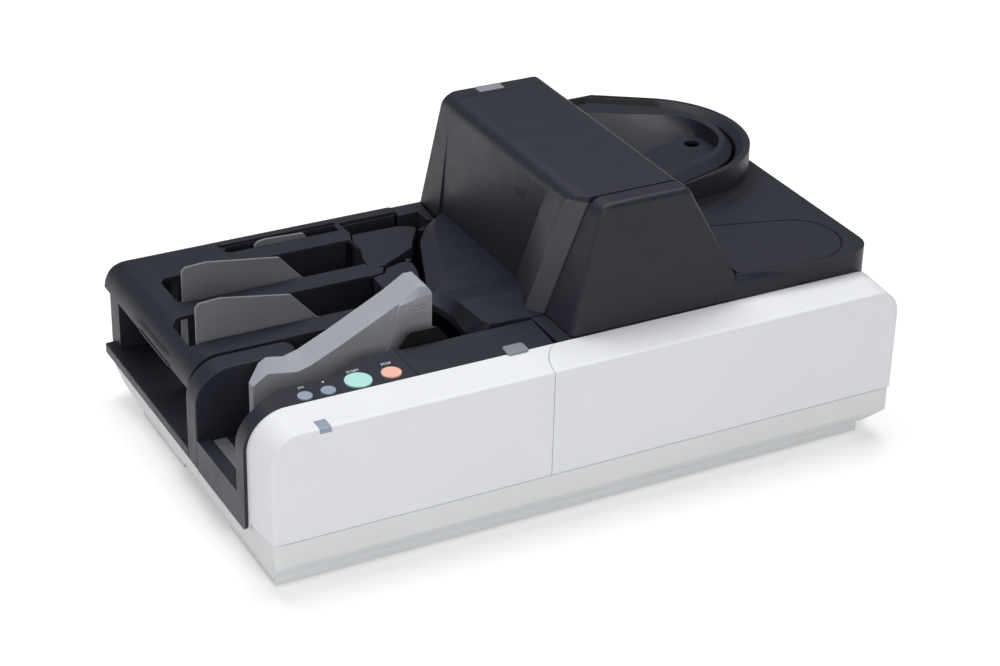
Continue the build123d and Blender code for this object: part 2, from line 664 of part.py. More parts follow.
def divider_wall():
    """Hollow wall between the feeder and the pockets with a rounded shoulder."""
    def shape(inset):
        left = -FRAME_PROUD + inset
        top = ROOF_Z - inset
        r = DIV_R - inset
        right = DIV_X1 - inset
        line = Polyline((left + r, top), (right, top), (right, 37 - inset), (left, 37 - inset),
                        (left, top - r))
        line += RadiusArc((left, top - r), (left + r, top), r)
        plane = Plane(origin=(0, DIV_Y0 + inset, 0), x_dir=(1, 0, 0), z_dir=(0, -1, 0))
        depth = DIV_Y1 - DIV_Y0 - 2 * inset
        return extrude(plane * make_face(line.edges()), -depth)
    body = shape(0)
    tail = [e for e in body.edges().filter_by(Axis.Z) if e.center().X > DIV_X1 - 1]
    body = fillet(tail, 8)
    body = body - shape(THIN)
    body -= box(-0.5, DIV_X1 + 1, DIV_Y0 - 1, DIV_Y1 + 1, 30, SEAM_Z)
    return body


# ================================================================ pockets
def roof_shape(inset):
    """Solid form of the pocket roof, walls moved in by inset."""
    r = ROOF_R - inset
    left = -SKIN + inset
    top = ROOF_Z - inset
    line = Polyline((left + r, top), (260, top), (260, 40), (left, 40), (left, top - r))
    line += RadiusArc((left, top - r), (left + r, top), r)
    plane = Plane(origin=(0, ROOF_Y0, 0), x_dir=(1, 0, 0), z_dir=(0, -1, 0))
    front = extrude(plane * make_face(line.edges()), -(POCKET_DEPTH - ROOF_Y0))
    back = POCKET_DEPTH - inset
    q = REAR_R - inset
    side = Polyline((back, top - q), (back, 30), (ROOF_Y0, 30), (ROOF_Y0, top),
                    (back - q, top))
    side += RadiusArc((back - q, top), (back, top - q), q)
    plane = Plane(origin=(-20, 0, 0), x_dir=(0, 1, 0), z_dir=(1, 0, 0))
    return front & extrude(plane * make_face(side.edges()), 300)


SLOTS = [(9, 174, 172, 216), (24, 186, 236, 280), (88, 186, 299, 309)]
GUIDE_A = [(192.5, 288), (205, 288), (232, 287), (243, 282), (245, 277), (233, 259),
           (227, 248), (219, 243), (194, 229), (186.5, 229), (181.5, 233), (182.5, 245),
           (187.5, 261), (188, 277)]
GUIDE_B = [(176, 213), (188, 216), (192, 223), (206, 227.5), (213, 227.5), (215, 222),
           (213, 210), (207, 192), (202, 187), (180, 190), (175.5, 197)]
GUIDE_C = [(178, 153), (192, 153), (200, 172), (198, 178), (180, 180), (175.5, 174)]


def pocket_roof():
    """Roof of the three pockets with its slots, open below and to the right."""
    body = roof_shape(0) - roof_shape(SKIN)
    body = body & box(-20, 241.5, ROOF_Y0, POCKET_DEPTH + 1, LIP_Z, 200)
    for x0, x1, y0, y1 in SLOTS:
        body -= Pos(0, 0, 80) * extrude(outline([(x0, y0 + 4), (x0 + 5, y0), (x1, y0),
                                                 (x1, y1), (x0 + 5, y1), (x0, y1 - 6)]), 80)
    body -= prism_z([(176, ROOF_Y0 - 1), (172.5, 196), (172.5, 214.5), (186, 216.5), (191, 225),
                     (185, 228), (180.5, 233), (181.5, 245), (186.5, 261), (187, 277.5),
                     (191.8, 290), (191, 311), (240, 311), (260, 311), (260, ROOF_Y0 - 1)],
                    LIP_Z - 1, 200)
    body += box(88, 187, 309.5, 316, ROOF_Z - 1, ROOF_Z + RIDGE_Z)
    for y in (188, 196):
        body += box(-SKIN - 0.8, 0, y, 250, LIP_Z, LIP_Z + 1.2)
    return body


def pocket_tray():
    """Floor of the pockets with its outer edge at the left end."""
    tray = box(-FRAME_PROUD, 243, DIV_Y1 + SLIT, POCKET_DEPTH - 3.5, TRAY_Z - 2, TRAY_Z)
    tray += box(-FRAME_PROUD, -1, DIV_Y1 + SLIT, POCKET_DEPTH - 3.5, 37, TRAY_Z)
    outer = [e for e in tray.edges().filter_by(Axis.Y) if e.center().X < 0.1 - FRAME_PROUD]
    tray = fillet(outer, 1.2)
    tray -= rod_z(POSTS[3][0], POSTS[3][1], SEAM_Z - 1, TRAY_Z + 1, 7)
    top = ROOF_Z - SKIN
    tray += box(24, 173, ROOF_Y0 + 1, ROOF_Y0 + 4, TRAY_Z, top)
    for x0, x1, y0, y1 in ((24, 178, 218, 234), (40, 185, 283, 296)):
        wall = box(x0, x1, y0, y1, TRAY_Z, top)
        tray += wall - box(x0 + THIN, x1 - THIN, y0 + THIN, y1 - THIN, TRAY_Z, top + 1)
    return tray


def rear_wall():
    """Rear wall of the pockets below the roof, with its folded left end."""
    wall = box(1, 241.5, POCKET_DEPTH - SKIN, POCKET_DEPTH, SEAM_Z, LIP_Z - 0.2)
    wall += box(1, 1 + SKIN, 314, POCKET_DEPTH, TRAY_Z, LIP_Z - 0.2)
    inner = box(30, 241.5, 310.5, 313.5, TRAY_Z, ROOF_Z - SKIN)
    inner += box(1, 33, 310.5, 313.5, TRAY_Z, LIP_Z - 0.2)
    return [wall + inner + box(1, 4, 311, 316, TRAY_Z, LIP_Z - 0.2)]


def pocket_guides():
    """Three upright guide blocks between the document paths."""
    top = ROOF_Z - 0.5
    return [prism_z(points, TRAY_Z, top, 1.2) for points in (GUIDE_A, GUIDE_B, GUIDE_C)]


def stacker_plate(slot, x0, reach, rise):
    """Plate at the front side of a pocket slot that presses on the stacked documents.

    reach is the length of its raised edge and rise its height over the roof."""
    sx0, sx1, sy0, sy1 = SLOTS[slot]
    y = sy0 + 2.2 if slot < 2 else sy0 + 1.2
    pivot = sx1 - PIVOT_BACK
    top = ROOF_Z + rise
    fall = rise * 0.72
    plate = prism_y([
        (x0, TRAY_Z + 3), (pivot, TRAY_Z + 3), (pivot, ROOF_Z - 6), (pivot - 12, ROOF_Z - 6),
        (x0 + reach, ROOF_Z - 2), (x0 + reach - 22 * rise / 32, top - rise * 0.3),
        (x0 + reach * 0.2, top), (x0 + 3, top - 1), (x0, top - 4)], y, y + PLATE_T,
        [0.0, 0.0, 0.0, 2.0, 3.0, 3.0, 3.0, 1.0, 1.0])
    plate += rod_z(pivot, y + PLATE_T / 2, TRAY_Z + 3, ROOF_Z - 6, PIVOT_D + 2.4)
    plate -= rod_z(pivot, y + PLATE_T / 2, TRAY_Z, ROOF_Z, PIVOT_D + 2 * BORE_GAP)
    return plate


def stacker_pins():
    """Pivot pins of the three stacker plates."""
    pins = []
    for slot in range(3):
        sx0, sx1, sy0, sy1 = SLOTS[slot]
        y = sy0 + 2.2 if slot < 2 else sy0 + 1.2
        pins.append(rod_z(sx1 - PIVOT_BACK, y + PLATE_T / 2, TRAY_Z, ROOF_Z - 4, PIVOT_D))
    return pins


def gate(x, y, tip_x, tip_y, z0):
    """Diverter gate: a slim blade on an upright shaft, its tip against the flow."""
    hub = rod_z(x, y, z0 + 2, GATE_Z, GATE_D)
    dx = tip_x - x
    dy = tip_y - y
    reach = (dx ** 2 + dy ** 2) ** 0.5
    ux = dx / reach
    uy = dy / reach
    r = GATE_D / 2 - 0.3
    blade = prism_z([(x - uy * r, y + ux * r), (tip_x - uy * 0.4, tip_y + ux * 0.4),
                     (tip_x + uy * 0.4, tip_y - ux * 0.4), (x + uy * r, y - ux * r)],
                    z0 + 4, GATE_Z - 2)
    return hub + blade + rod_z(x, y, z0, z0 + 3, GATE_D - 1.4)


def corner_wall():
    """Angle wall at the rear left of the tower."""
    top = ROOF_Z - 0.4
    plan = [(242, 303), (259, 304), (259, 286), (265, 284.5), (268.5, 318), (268.5, 329),
            (242, 329)]
    body = prism_z(plan, FLOOR_Z, top + 1)
    body = body & roof_side(top)
    body -= prism_z([(240, 306), (262, 307), (262, 289), (263.5, 289), (265.5, 316),
                     (265.5, 326), (240, 326)], FLOOR_Z - 1, top - SKIN)
    return body


def roof_side(top, inset=0.0):
    """Solid with the rounded rear edge of the roof, for what continues it."""
    back = POCKET_DEPTH - 1 - inset
    top = top - inset
    r = REAR_R - inset
    side = Polyline((back, top - r), (back, 30), (200, 30), (200, top), (back - r, top))
    side += RadiusArc((back - r, top), (back, top - r), r)
    plane = Plane(origin=(-20, 0, 0), x_dir=(0, 1, 0), z_dir=(1, 0, 0))
    return extrude(plane * make_face(side.edges()), 330)


# ================================================================ document track
def leg_y(x, r):
    """Front leg of the U-turn, offset so that it is tangent to a nose of radius r."""
    x1 = NOSE_X + r * sin(LEG)
    y1 = NOSE_Y - r * cos(LEG)
    return y1 + (x - x1) * tan(LEG)


def drop_plan(r, x0, pinch=0.0):
    """Plan inside an offset of the document path: a nose with two spreading legs."""
    front = (NOSE_X + r * sin(LEG), NOSE_Y - r * cos(LEG))
    rear = (NOSE_X + r * sin(TAIL), NOSE_Y + r * cos(TAIL))
    edge = min(TAIL_Y + r - GROOVE_R, CASE_DEPTH)
    knee = rear[0] - (edge - rear[1]) / tan(TAIL)
    line = ThreePointArc(front, (NOSE_X + r, NOSE_Y), rear)
    line += Polyline(rear, (knee, edge), (TAIL_X0, edge), (TAIL_X0, TAIL_FRONT),
                     (x0, TAIL_FRONT), (x0, leg_y(x0, r) + pinch), front)
    return make_face(line.edges())


def teardrop(r, x0, z0, z1, pinch=0.0):
    """The plan inside an offset of the document path, raised from z0 to z1."""
    return Pos(0, 0, z0) * extrude(drop_plan(r, x0, pinch), z1 - z0)


def tail_space():
    """Space under the rear leg, left free for the sockets."""
    return box(TAIL_X0 - 1, LOOP_X0, TAIL_FRONT - 1, CASE_DEPTH + 1, FLOOR_Z - 2, TAIL_Z)


def hinge_lug(y, z0):
    """Ear beside an eye of the hood, bored for the hinge pin."""
    z = pivot_z(y)
    half = EYE_W / 2 - 0.8
    lug = box(HOOD_PIVOT_X - 4, LOOP_X0 + 2, y - half, y + half, z0, z + 1)
    lug += axis_rod(y - half, y + half, HINGE_D + 4)
    return lug - axis_rod(y - EYE_W, y + EYE_W, HINGE_D)


def loop_rim():
    """Outer wall of the U-turn with its broad rim above the deck."""
    inner = GROOVE_R + GROOVE_W / 2
    body = teardrop(RIM_R, LOOP_X0, DECK_Z - 6, RIM_Z, 5)
    body += teardrop(inner + SKIN, LOOP_X0, FLOOR_Z, RIM_Z - 10)
    body -= teardrop(inner, LOOP_X0 - 5, FLOOR_Z - 1, RIM_Z + 1)
    low = drop_plan(inner, LOOP_X0 - 5)
    high = drop_plan(inner + CREST_W, LOOP_X0 - 5)
    body -= loft([Pos(0, 0, RIM_Z - CREST_DROP) * low, Pos(0, 0, RIM_Z) * high], ruled=True)
    body -= tail_space()
    return largest(body)


def loop_island():
    """Inner wall of the U-turn with its sunk top and round hole."""
    outer = GROOVE_R - GROOVE_W / 2
    shoulder = RIM_Z - CREST_DROP
    body = teardrop(outer, LOOP_X0, FLOOR_Z, shoulder)
    shift = 1.5
    crest = Pos(shift, 2 * shift, RIM_Z - 0.5) * drop_plan(outer - CREST_W, LOOP_X0 - shift)
    body += loft([Pos(0, 0, shoulder) * drop_plan(outer, LOOP_X0), crest], ruled=True)
    body -= teardrop(outer - SKIN, LOOP_X0 + SKIN, FLOOR_Z - 1, RECESS_Z - SKIN)
    left = LOOP_X0 + SKIN
    front = [(left, NOSE_Y - 65), (RECESS_X1, NOSE_Y - 36.5)]
    rims = [0.0, RECESS_R, RECESS_R, 0.0]
    high = outline(front + [(RECESS_X1, NOSE_Y + 24.5), (left, NOSE_Y + 79)], rims)
    rims = [0.0, RECESS_R, RECESS_FLOOR_R, 0.0]
    low = outline(front + [(RECESS_X1, NOSE_Y + 18), (left, NOSE_Y - 7.5)], rims)
    body -= loft([Pos(0, 0, RECESS_Z) * low, Pos(0, 0, RIM_Z) * high], ruled=True)
    body -= rod_z(HOLE_X, HOLE_Y, RECESS_Z - 10, RECESS_Z + 1, HOLE_D)
    body -= tail_space()
    return body + hinge_lug(HINGE_LUGS[1], RECESS_Z)


def track_bed():
    """Moulded bed of the document track on its legs."""
    plan = [(245, WALL_Y + 6), (LENGTH - SKIN - 1, WALL_Y + 6),
            (LENGTH - SKIN - 1, POCKET_DEPTH - 4), (262, POCKET_DEPTH - 4),
            (245, 284)]
    bed = prism_z(plan, FLOOR_Z - 3, FLOOR_Z)
    for x in (258, 390, LENGTH - 19):
        bed += box(x, x + 4, WALL_Y + 8, POCKET_DEPTH - 12, SEAM_Z, FLOOR_Z - 2)
    return bed


def strip_along_leg(x0, x1, near, far, z0, z1):
    """Upright slab along the front leg; near and far are offsets across the path."""
    def point(x, off):
        y = leg_y(x, GROOVE_R)
        return (x - off * sin(LEG), y + off * cos(LEG))
    plan = [point(x0, near), point(x1, near), point(x1, far), point(x0, far)]
    return prism_z(plan, z0, z1)


def track_walls():
    """Front and rear walls of the document path through the tower."""
    half = GROOVE_W / 2
    walls = []
    for near, far in ((-half - THIN, -half), (half, half + THIN)):
        wall = strip_along_leg(250, LOOP_X0 - 3, near, far, FLOOR_Z, TRACK_TOP)
        for x0, x1 in WINDOWS:
            wall -= strip_along_leg(x0, x1, near - 1, far + 1, FLOOR_Z + 6, TRACK_TOP - 8)
        walls.append(wall)
    return walls


def scan_modules():
    """Line scanners on both sides of the path, one after the other."""
    half = GROOVE_W / 2
    bodies = []
    for (x0, x1), side in zip(WINDOWS, (1, -1)):
        a = side * (half + THIN + 0.2)
        b = side * (half + THIN + 20)
        near = min(a, b)
        far = max(a, b)
        body = strip_along_leg(x0 - 4, x1 + 4, near, far, FLOOR_Z, TRACK_TOP + 6)
        a = side * (half + 1.6)
        b = side * (half + THIN + 1)
        near = min(a, b)
        far = max(a, b)
        body += strip_along_leg(x0 + 1, x1 - 1, near, far, FLOOR_Z + 8, TRACK_TOP - 10)
        bodies.append(body)
    return bodies


def scan_glasses():
    """Glass windows of the two line scanners."""
    half = GROOVE_W / 2
    panes = []
    for (x0, x1), side in zip(WINDOWS, (1, -1)):
        a = side * (half + 0.4)
        b = side * (half + 1.6)
        near = min(a, b)
        far = max(a, b)
        panes.append(strip_along_leg(x0 + 1, x1 - 1, near, far, FLOOR_Z + 8, TRACK_TOP - 10))
    return panes


def track_cover():
    """Faceted cover between the pockets and the tower."""
    low = outline([(266, 282.5), (252, 275), (236, 252), (213.5, 197), (197, 157), (203, 130),
                   (200, 104), (204, WALL_Y + 4), (241, WALL_Y + 0.3),
                   (258, WALL_Y + 0.3), (258, 90), (281, 150), (281, 282.5)])
    high = outline([(277, 281), (274, 275), (272.6, 259), (244.4, 178.7), (229, 182), (207.4, 125),
                    (209.2, 87), (212, WALL_Y + 3), (241, WALL_Y + 1.0),
                    (258, WALL_Y + 1.0), (258, 90), (281, 150), (281, 282)])
    skirt = Pos(0, 0, ROOF_Z - 6) * extrude(low, 6)
    slope = loft([Pos(0, 0, ROOF_Z) * low, Pos(0, 0, TOP_Z + 3) * high], ruled=True)
    body = skirt + slope
    inner = outline([(264, 278), (254, 270), (242, 250), (221, 198), (206, 163), (208, 132),
                     (206, 106), (209, 87), (241, 85), (255, 85), (255, 92),
                     (285, 150), (285, 278)])
    body -= Pos(0, 0, ROOF_Z - 7) * extrude(inner, 10)
    top = prism_x([(90 - 20, TRACK_FACET_Z + 1), (126, TRACK_FACET_Z), (156, HOOD_Z - SLIT),
                   (300, HOOD_Z - SLIT), (300, 200), (70, 200)], 180, 300)
    body -= top
    return body - hood_foot()


def hood_foot():
    """Space kept free for the flared foot of the tower, from the hood's lower edge up."""
    plan = [(TOWER_FOOT_X0 - 2, WALL_Y - 30), (TOWER_FOOT_X0 - 2, 97),
            (HOOD_X - SLIT, 158), (HOOD_X - SLIT, 300), (300, 300), (300, WALL_Y - 30)]
    side = prism_x([(50, TRACK_FACET_Z + 0.6), (126, TRACK_FACET_Z + 0.3), (156, HOOD_Z),
                    (300, HOOD_Z), (300, 240), (50, 240)], 200, 320)
    return prism_z(plan, ROOF_Z, 240) & side


# ================================================================ tower
def seam_y(z, y, base):
    """A seam of the tower: y at height base, leaning forward with height."""
    return y - LEAN * (z - base)


def tower_outline(inset, left, foot):
    """Front view outline of the tower: left edge points, then top and right face."""
    slope = (TOWER_FOOT_X1 - TOWER_TOP_X1) / (TOWER_Z - DECK_Z)
    side = inset * (1 + slope ** 2) ** 0.5
    top = TOWER_Z - inset
    x1 = TOWER_TOP_X1 - side + slope * inset
    x2 = TOWER_FOOT_X1 - side + slope * (DECK_Z - foot)
    return left + [(x1, top), (x2, foot)]


def hood_shape(inset):
    """Solid form of the hood between its two seams, walls moved in by inset."""
    foot = DECK_Z + 2
    low = HOOD_Z - (10 if inset else 0)
    left = [(HOOD_X + inset, low), (HOOD_X + inset, TOWER_Z - inset)]
    points = tower_outline(inset, left, foot if not inset else low)
    if not inset:
        points.append((TOWER_TOP_X1, foot))
        points.append((TOWER_TOP_X1, low))
    radii = [0.0, TOWER_R - inset, 10.0 - inset] + [0.0] * (len(points) - 3)
    main = prism_y(points, 40, 320, radii)
    z0 = HOOD_Z - 1
    z1 = TOWER_Z - 6
    y0 = seam_y(z0, CAP_SEAM_Y, TOP_Z)
    y1 = seam_y(z1, CAP_SEAM_Y, TOP_Z)
    low_plan = outline([(HOOD_X + inset, 156 - 2 * inset), (TOWER_FOOT_X0 + inset, y0 + 14),
                        (TOWER_FOOT_X0 - 1 + inset, y0 - 1), (HOOD_X + 8, y0 - 1),
                        (HOOD_X + 8, 156 - 2 * inset)])
    high_plan = outline([(HOOD_X + inset, 109 - 2 * inset), (HOOD_X - 0.4 + inset, y1 + 14),
                         (HOOD_X - 0.8 + inset, y1 - 1), (HOOD_X + 8, y1 - 1),
                         (HOOD_X + 8, 109 - 2 * inset)])
    flare = loft([Pos(0, 0, z0) * low_plan, Pos(0, 0, z1) * high_plan], ruled=True)
    return main + flare - stripe_bevel(inset)


def stripe_bevel(inset):
    """Wedge outside the stripe, which turns from the hood's flank to the cap's."""
    plans = []
    for z in (HOOD_Z - 12, TOWER_Z + 8):
        x = TOWER_FOOT_X0 + (HOOD_X - TOWER_FOOT_X0) * (z - TOP_Z) / (TOWER_Z - 6 - TOP_Z)
        y = seam_y(z, CAP_SEAM_Y, TOP_Z)
        back = (x - 0.5 + inset, y + STRIPE_W)
        front = (x + CAP_SET + inset, y - 1)
        away = (x - 40, y - 60)
        plan = outline([(x - 40, y + STRIPE_W), back, front, (front[0], y - 60), away])
        plans.append(Pos(0, 0, z) * plan)
    return loft(plans, ruled=True)


def hood_ends(grow):
    """Slab between the hood's front and rear seams."""
    f = CAP_SEAM_Y + SLIT / 2 - grow
    r = HOOD_REAR_Y - SLIT / 2 + grow
    low = TRACK_FACET_Z + 0.8
    return prism_x([
        (seam_y(low, f, TOP_Z), low), (126, TRACK_FACET_Z + 0.5), (156, HOOD_Z),
        (seam_y(HOOD_Z, r, HOOD_Z), HOOD_Z), (seam_y(TOWER_Z + 5, r, HOOD_Z), TOWER_Z + 5),
        (seam_y(TOWER_Z + 5, f, TOP_Z), TOWER_Z + 5)], 200, 450)


def stripe_zone():
    """Slab that holds the grey stripe on the tower's left flank."""
    f = CAP_SEAM_Y + SLIT / 2
    return prism_x([
        (seam_y(120, f, TOP_Z), 120), (seam_y(120, f + STRIPE_W, TOP_Z), 120),
        (seam_y(TOWER_Z - 5, f + STRIPE_W, TOP_Z), TOWER_Z - 5),
        (seam_y(TOWER_Z - 5, f, TOP_Z), TOWER_Z - 5)], 200, HOOD_X + CAP_SET + SKIN + 2)


def pivot_z(y):
    """Height of the hood's hinge axis, which is square to the tower's seams."""
    return HOOD_PIVOT_Z + LEAN * (y - HOOD_PIVOT_Y)


def axis_rod(y0, y1, d):
    """Round bar along the hood's hinge axis."""
    dy = y1 - y0
    length = dy * (1 + LEAN ** 2) ** 0.5
    mid = (y0 + y1) / 2
    plane = Plane(origin=(HOOD_PIVOT_X, mid, pivot_z(mid)), x_dir=(1, 0, 0),
                  z_dir=(0, 1, LEAN))
    return plane * Cylinder(d / 2, length)


def tower_hood():
    """Hinged hood of the scanning tower."""
    shell = (hood_shape(0) - hood_shape(SKIN)) & hood_ends(0)
    shell -= stripe_zone()
    for y in HINGE_EYES:
        z = pivot_z(y)
        shell += box(HOOD_PIVOT_X - 14, HOOD_PIVOT_X, y - EYE_W / 2 + 0.8, y + EYE_W / 2 - 0.8,
                     z - 3, z + 4)
        shell += axis_rod(y - EYE_W / 2, y + EYE_W / 2, HINGE_D + 5)
        shell -= axis_rod(y - EYE_W, y + EYE_W, HINGE_D + 2 * BORE_GAP)
    for y in HINGE_LUGS:
        shell -= box(HOOD_PIVOT_X - 8, HOOD_PIVOT_X + 9, y - EYE_W / 2 - 1,
                     y + EYE_W / 2 + 1, DECK_Z, pivot_z(y) + 7)
    return largest(shell)


def largest(shape):
    """The biggest solid of a shape; drops loose slivers left by a cut."""
    return shape.solids().sort_by(lambda s: s.volume)[-1]


def hood_pins():
    """Two hinge pins of the hood."""
    pins = []
    for eye, lug in zip(HINGE_EYES, HINGE_LUGS):
        y0 = min(eye, lug) - EYE_W / 2
        y1 = max(eye, lug) + EYE_W / 2
        pins.append(axis_rod(y0, y1, HINGE_D))
    return pins


def tower_stripe():
    """Neutral grey stripe on the tower's left flank."""
    shell = (hood_shape(0) - hood_shape(SKIN)) & hood_ends(0)
    return largest(shell & stripe_zone())


def cap_shape(inset):
    """Solid form of the tower's front cap, walls moved in by inset."""
    low = TOP_Z - (5 if inset else 0)
    slope = (HOOD_X + 1 - TOWER_FOOT_X0) / (TOWER_Z - TOP_Z)
    foot = TOWER_FOOT_X0 + CAP_SET + inset
    left = [(foot + slope * (low - TOP_Z), low), (HOOD_X + 1 + CAP_SET + inset, TOWER_Z - inset)]
    points = tower_outline(inset, left, DECK_Z)
    x2 = points[-1][0]
    points.append((x2, low))
    body = prism_y(points, 30, 100, [0.0, TOWER_R + 1 - inset, 8.0 - inset, 0.0, 0.0])
    front = (CAP_TOP_Y - COVER_Y - GAP) / (TOWER_Z - TOP_Z)
    y0 = COVER_Y + GAP + inset
    rear = CAP_SEAM_Y - SLIT / 2 + (10 if inset else 0)
    return body & prism_x([
        (y0 + front * (low - TOP_Z), low), (seam_y(low, rear, TOP_Z), low),
        (seam_y(TOWER_Z + 1, rear, TOP_Z), TOWER_Z + 1),
        (y0 + front * (TOWER_Z + 1 - TOP_Z), TOWER_Z + 1)], 200, 450)


def front_cap():
    """Fixed front end of the tower."""
    solid = cap_shape(0)
    face = solid.faces().sort_by(Axis.Y)[0]
    rim = [e for e in face.edges() if e.bounding_box().max.Z > TOP_Z + 1]
    solid = fillet(ShapeList(rim), 5)
    return solid - cap_shape(SKIN)


def rear_plane(grow):
    """Slab between the hood's rear seam and the leaning rear face of the tower."""
    slope = (TOWER_REAR_FOOT - TOWER_REAR_TOP) / (TOWER_Z - ROOF_Z)
    r = HOOD_REAR_Y + SLIT / 2 - (10 if grow else 0)
    return prism_x([
        (seam_y(100, r, HOOD_Z), 100), (TOWER_REAR_FOOT + slope * (ROOF_Z - 100) - grow, 100),
        (TOWER_REAR_TOP - slope * 5 - grow, TOWER_Z + 5),
        (seam_y(TOWER_Z + 5, r, HOOD_Z), TOWER_Z + 5)], 200, 450)


def tower_rear():
    """Fixed rear end of the tower with the seat of the latch."""
    def shape(inset):
        low = ROOF_Z - (10 if inset else 0)
        left = [(HOOD_X - 2 + inset, low), (HOOD_X + 1 + inset, TOWER_Z - inset)]
        points = tower_outline(inset, left, DECK_Z + 0.3 - (10 if inset else 0))
        points.append((TAIL_X0 - 2 - inset, points[-1][1]))
        points.append((TAIL_X0 - 2 - inset, low))
        radii = [0.0, TOWER_R - inset, 10.0 - inset, 0.0, 0.0, 0.0]
        return prism_y(points, 200, 340, radii) & rear_plane(inset)
    body = shape(0) - shape(SKIN)
    y1 = LATCH_Y + LATCH_L
    body -= box(LATCH_X, LATCH_X + LATCH_W, LATCH_Y, y1 + 9, TOWER_Z - 12.5, TOWER_Z + 1)
    seat = box(LATCH_X - 2, LATCH_X + LATCH_W + 2, LATCH_Y - 2, y1 + 5, TOWER_Z - 15,
               TOWER_Z - 2)
    seat -= box(LATCH_X, LATCH_X + LATCH_W, LATCH_Y, y1 + 9, TOWER_Z - 13, TOWER_Z)
    body += seat & rear_plane(0) & prism_y(
        [(200, 100), (420, 100), (420, TOWER_Z - 1), (200, TOWER_Z - 1)], 200, 340)
    body += box(HOOD_X - 2, HOOD_X + 1, 292, 306, FLOOR_Z, ROOF_Z + 3)
    body += box(TAIL_X0 - 2 - SKIN, TAIL_X0 - 2, 294, 308, FLOOR_Z, ROOF_Z + 3)
    return body


def hood_latch():
    """Pale release key in the rear top edge of the tower."""
    x0 = LATCH_X + GAP
    x1 = LATCH_X + LATCH_W - GAP
    key = box(x0, x1, LATCH_Y + GAP, LATCH_Y + LATCH_L + 5, TOWER_Z - 9, TOWER_Z + 0.6)
    key = key & rear_plane(0)
    return largest(key)


# ================================================================ deck
def leaf_plan(grow):
    """Outline of the leaf cover in the deck, grown by grow."""
    r = LEAF_R + grow
    x0 = LOOP_X0 + 2 - grow
    cx = LEAF_X1 - LEAF_R
    low = radians(5.6)
    high = radians(15.5)
    lx = cx - r * sin(low)
    ly = LEAF_Y - r * cos(low)
    hx = cx + r * sin(high)
    hy = LEAF_Y + r * cos(high)
    plan = outline([(x0, ly + (lx - x0) * tan(low)), (lx, ly), (cx, LEAF_Y), (hx, hy),
                    (x0, hy + (hx - x0) * tan(high))])
    return plan + Pos(cx, LEAF_Y) * Circle(r)


def deck():
    """Deck to the right of the tower with its skirts and the ledge below the cap."""
    y0 = COVER_Y + GAP
    x1 = LENGTH
    corner_x = x1 - DECK_R - 14
    edge = [(LOOP_X0, DECK_FRONT), (DECK_KNEE_X, y0 + 1.2), (corner_x, y0), (x1, y0),
            (x1, CASE_DEPTH), (LOOP_X0, CASE_DEPTH)]
    plan = outline(edge, [0.0, 60.0, 0.0, DECK_R, 10.0, 0.0])
    inner = [(LOOP_X0 + SKIN, DECK_FRONT + SKIN), (DECK_KNEE_X, y0 + 1.2 + SKIN),
             (corner_x, y0 + SKIN), (x1 - SKIN, y0 + SKIN), (x1 - SKIN, CASE_DEPTH - SKIN),
             (LOOP_X0 - 1, CASE_DEPTH - SKIN), (LOOP_X0 - 1, 146), (LOOP_X0 + SKIN, 146)]
    hollow = outline(inner, [0.0, 60.0, 0.0, DECK_R - SKIN, 7.0, 0.0, 0.0, 0.0])
    body = Pos(0, 0, SEAM_Z) * extrude(plan, DECK_Z - SEAM_Z)
    body -= Pos(0, 0, SEAM_Z - 1) * extrude(hollow, DECK_Z - SKIN - SEAM_Z + 1)
    body -= box(LOOP_X0 - 1, corner_x, 30, 200, SEAM_Z - 1, TOP_Z - SKIN)
    ledge = box(TOWER_FOOT_X0 - 0.2, corner_x, y0, WALL_Y, TOP_Z - SKIN, TOP_Z)
    ledge += box(TOWER_FOOT_X0 + 20, TOWER_FOOT_X0 + 24, y0 + 4, CAP_SEAM_Y, SEAM_Z, TOP_Z - 1)
    ledge += box(LOOP_X0, LOOP_X0 + 4, y0 + 4, CAP_SEAM_Y, SEAM_Z, TOP_Z - 1)
    ledge += prism_x([(y0, TOP_Z - 1), (y0, TOP_Z), (y0 + 9, TOP_Z + 3.5), (y0 + 9, TOP_Z - 1)],
                     TOWER_FOOT_X1 + 0.2, DECK_KNEE_X - 10)
    ledge += Pos(0, 2.4, 0) * cover_block(0.6, 0, COVER_Y) & box(
        corner_x, LENGTH, y0, y0 + 2, SEAM_Z, TOP_Z)
    body += ledge
    body -= teardrop(RIM_R + GAP, LOOP_X0 - 30, DECK_Z - 6 - GAP, DECK_Z + 10, 5)
    case = Pos(0, 0, LEAF_FLOOR) * extrude(leaf_plan(3), DECK_Z - SKIN - LEAF_FLOOR)
    body += case & (Pos(0, 0, LEAF_FLOOR) * extrude(plan, DECK_Z - LEAF_FLOOR))
    body -= Pos(0, 0, LEAF_FLOOR + THIN) * extrude(leaf_plan(-2.5), 60)
    body -= Pos(0, 0, DECK_Z - THIN - 0.2) * extrude(leaf_plan(SLIT), 10)
    body -= box(LOOP_X0 - 2, LEAF_PIVOT_X + 4, DECK_FRONT + 2, LEAF_Y + 58, LEAF_PIVOT_Z - 6, DECK_Z + 1)
    for y0, y1 in LEAF_EARS:
        block = box(LEAF_PIVOT_X - 2.2, LEAF_PIVOT_X + 2.2, y0, y1, LEAF_FLOOR + 1,
                    LEAF_PIVOT_Z + 1.2)
        body += block - rod_y(LEAF_PIVOT_X, LEAF_PIVOT_Z, y0 - 1, y1 + 1, PIN_D + 2 * BORE_GAP)
    return body + hinge_lug(HINGE_LUGS[0], DECK_Z - SKIN)


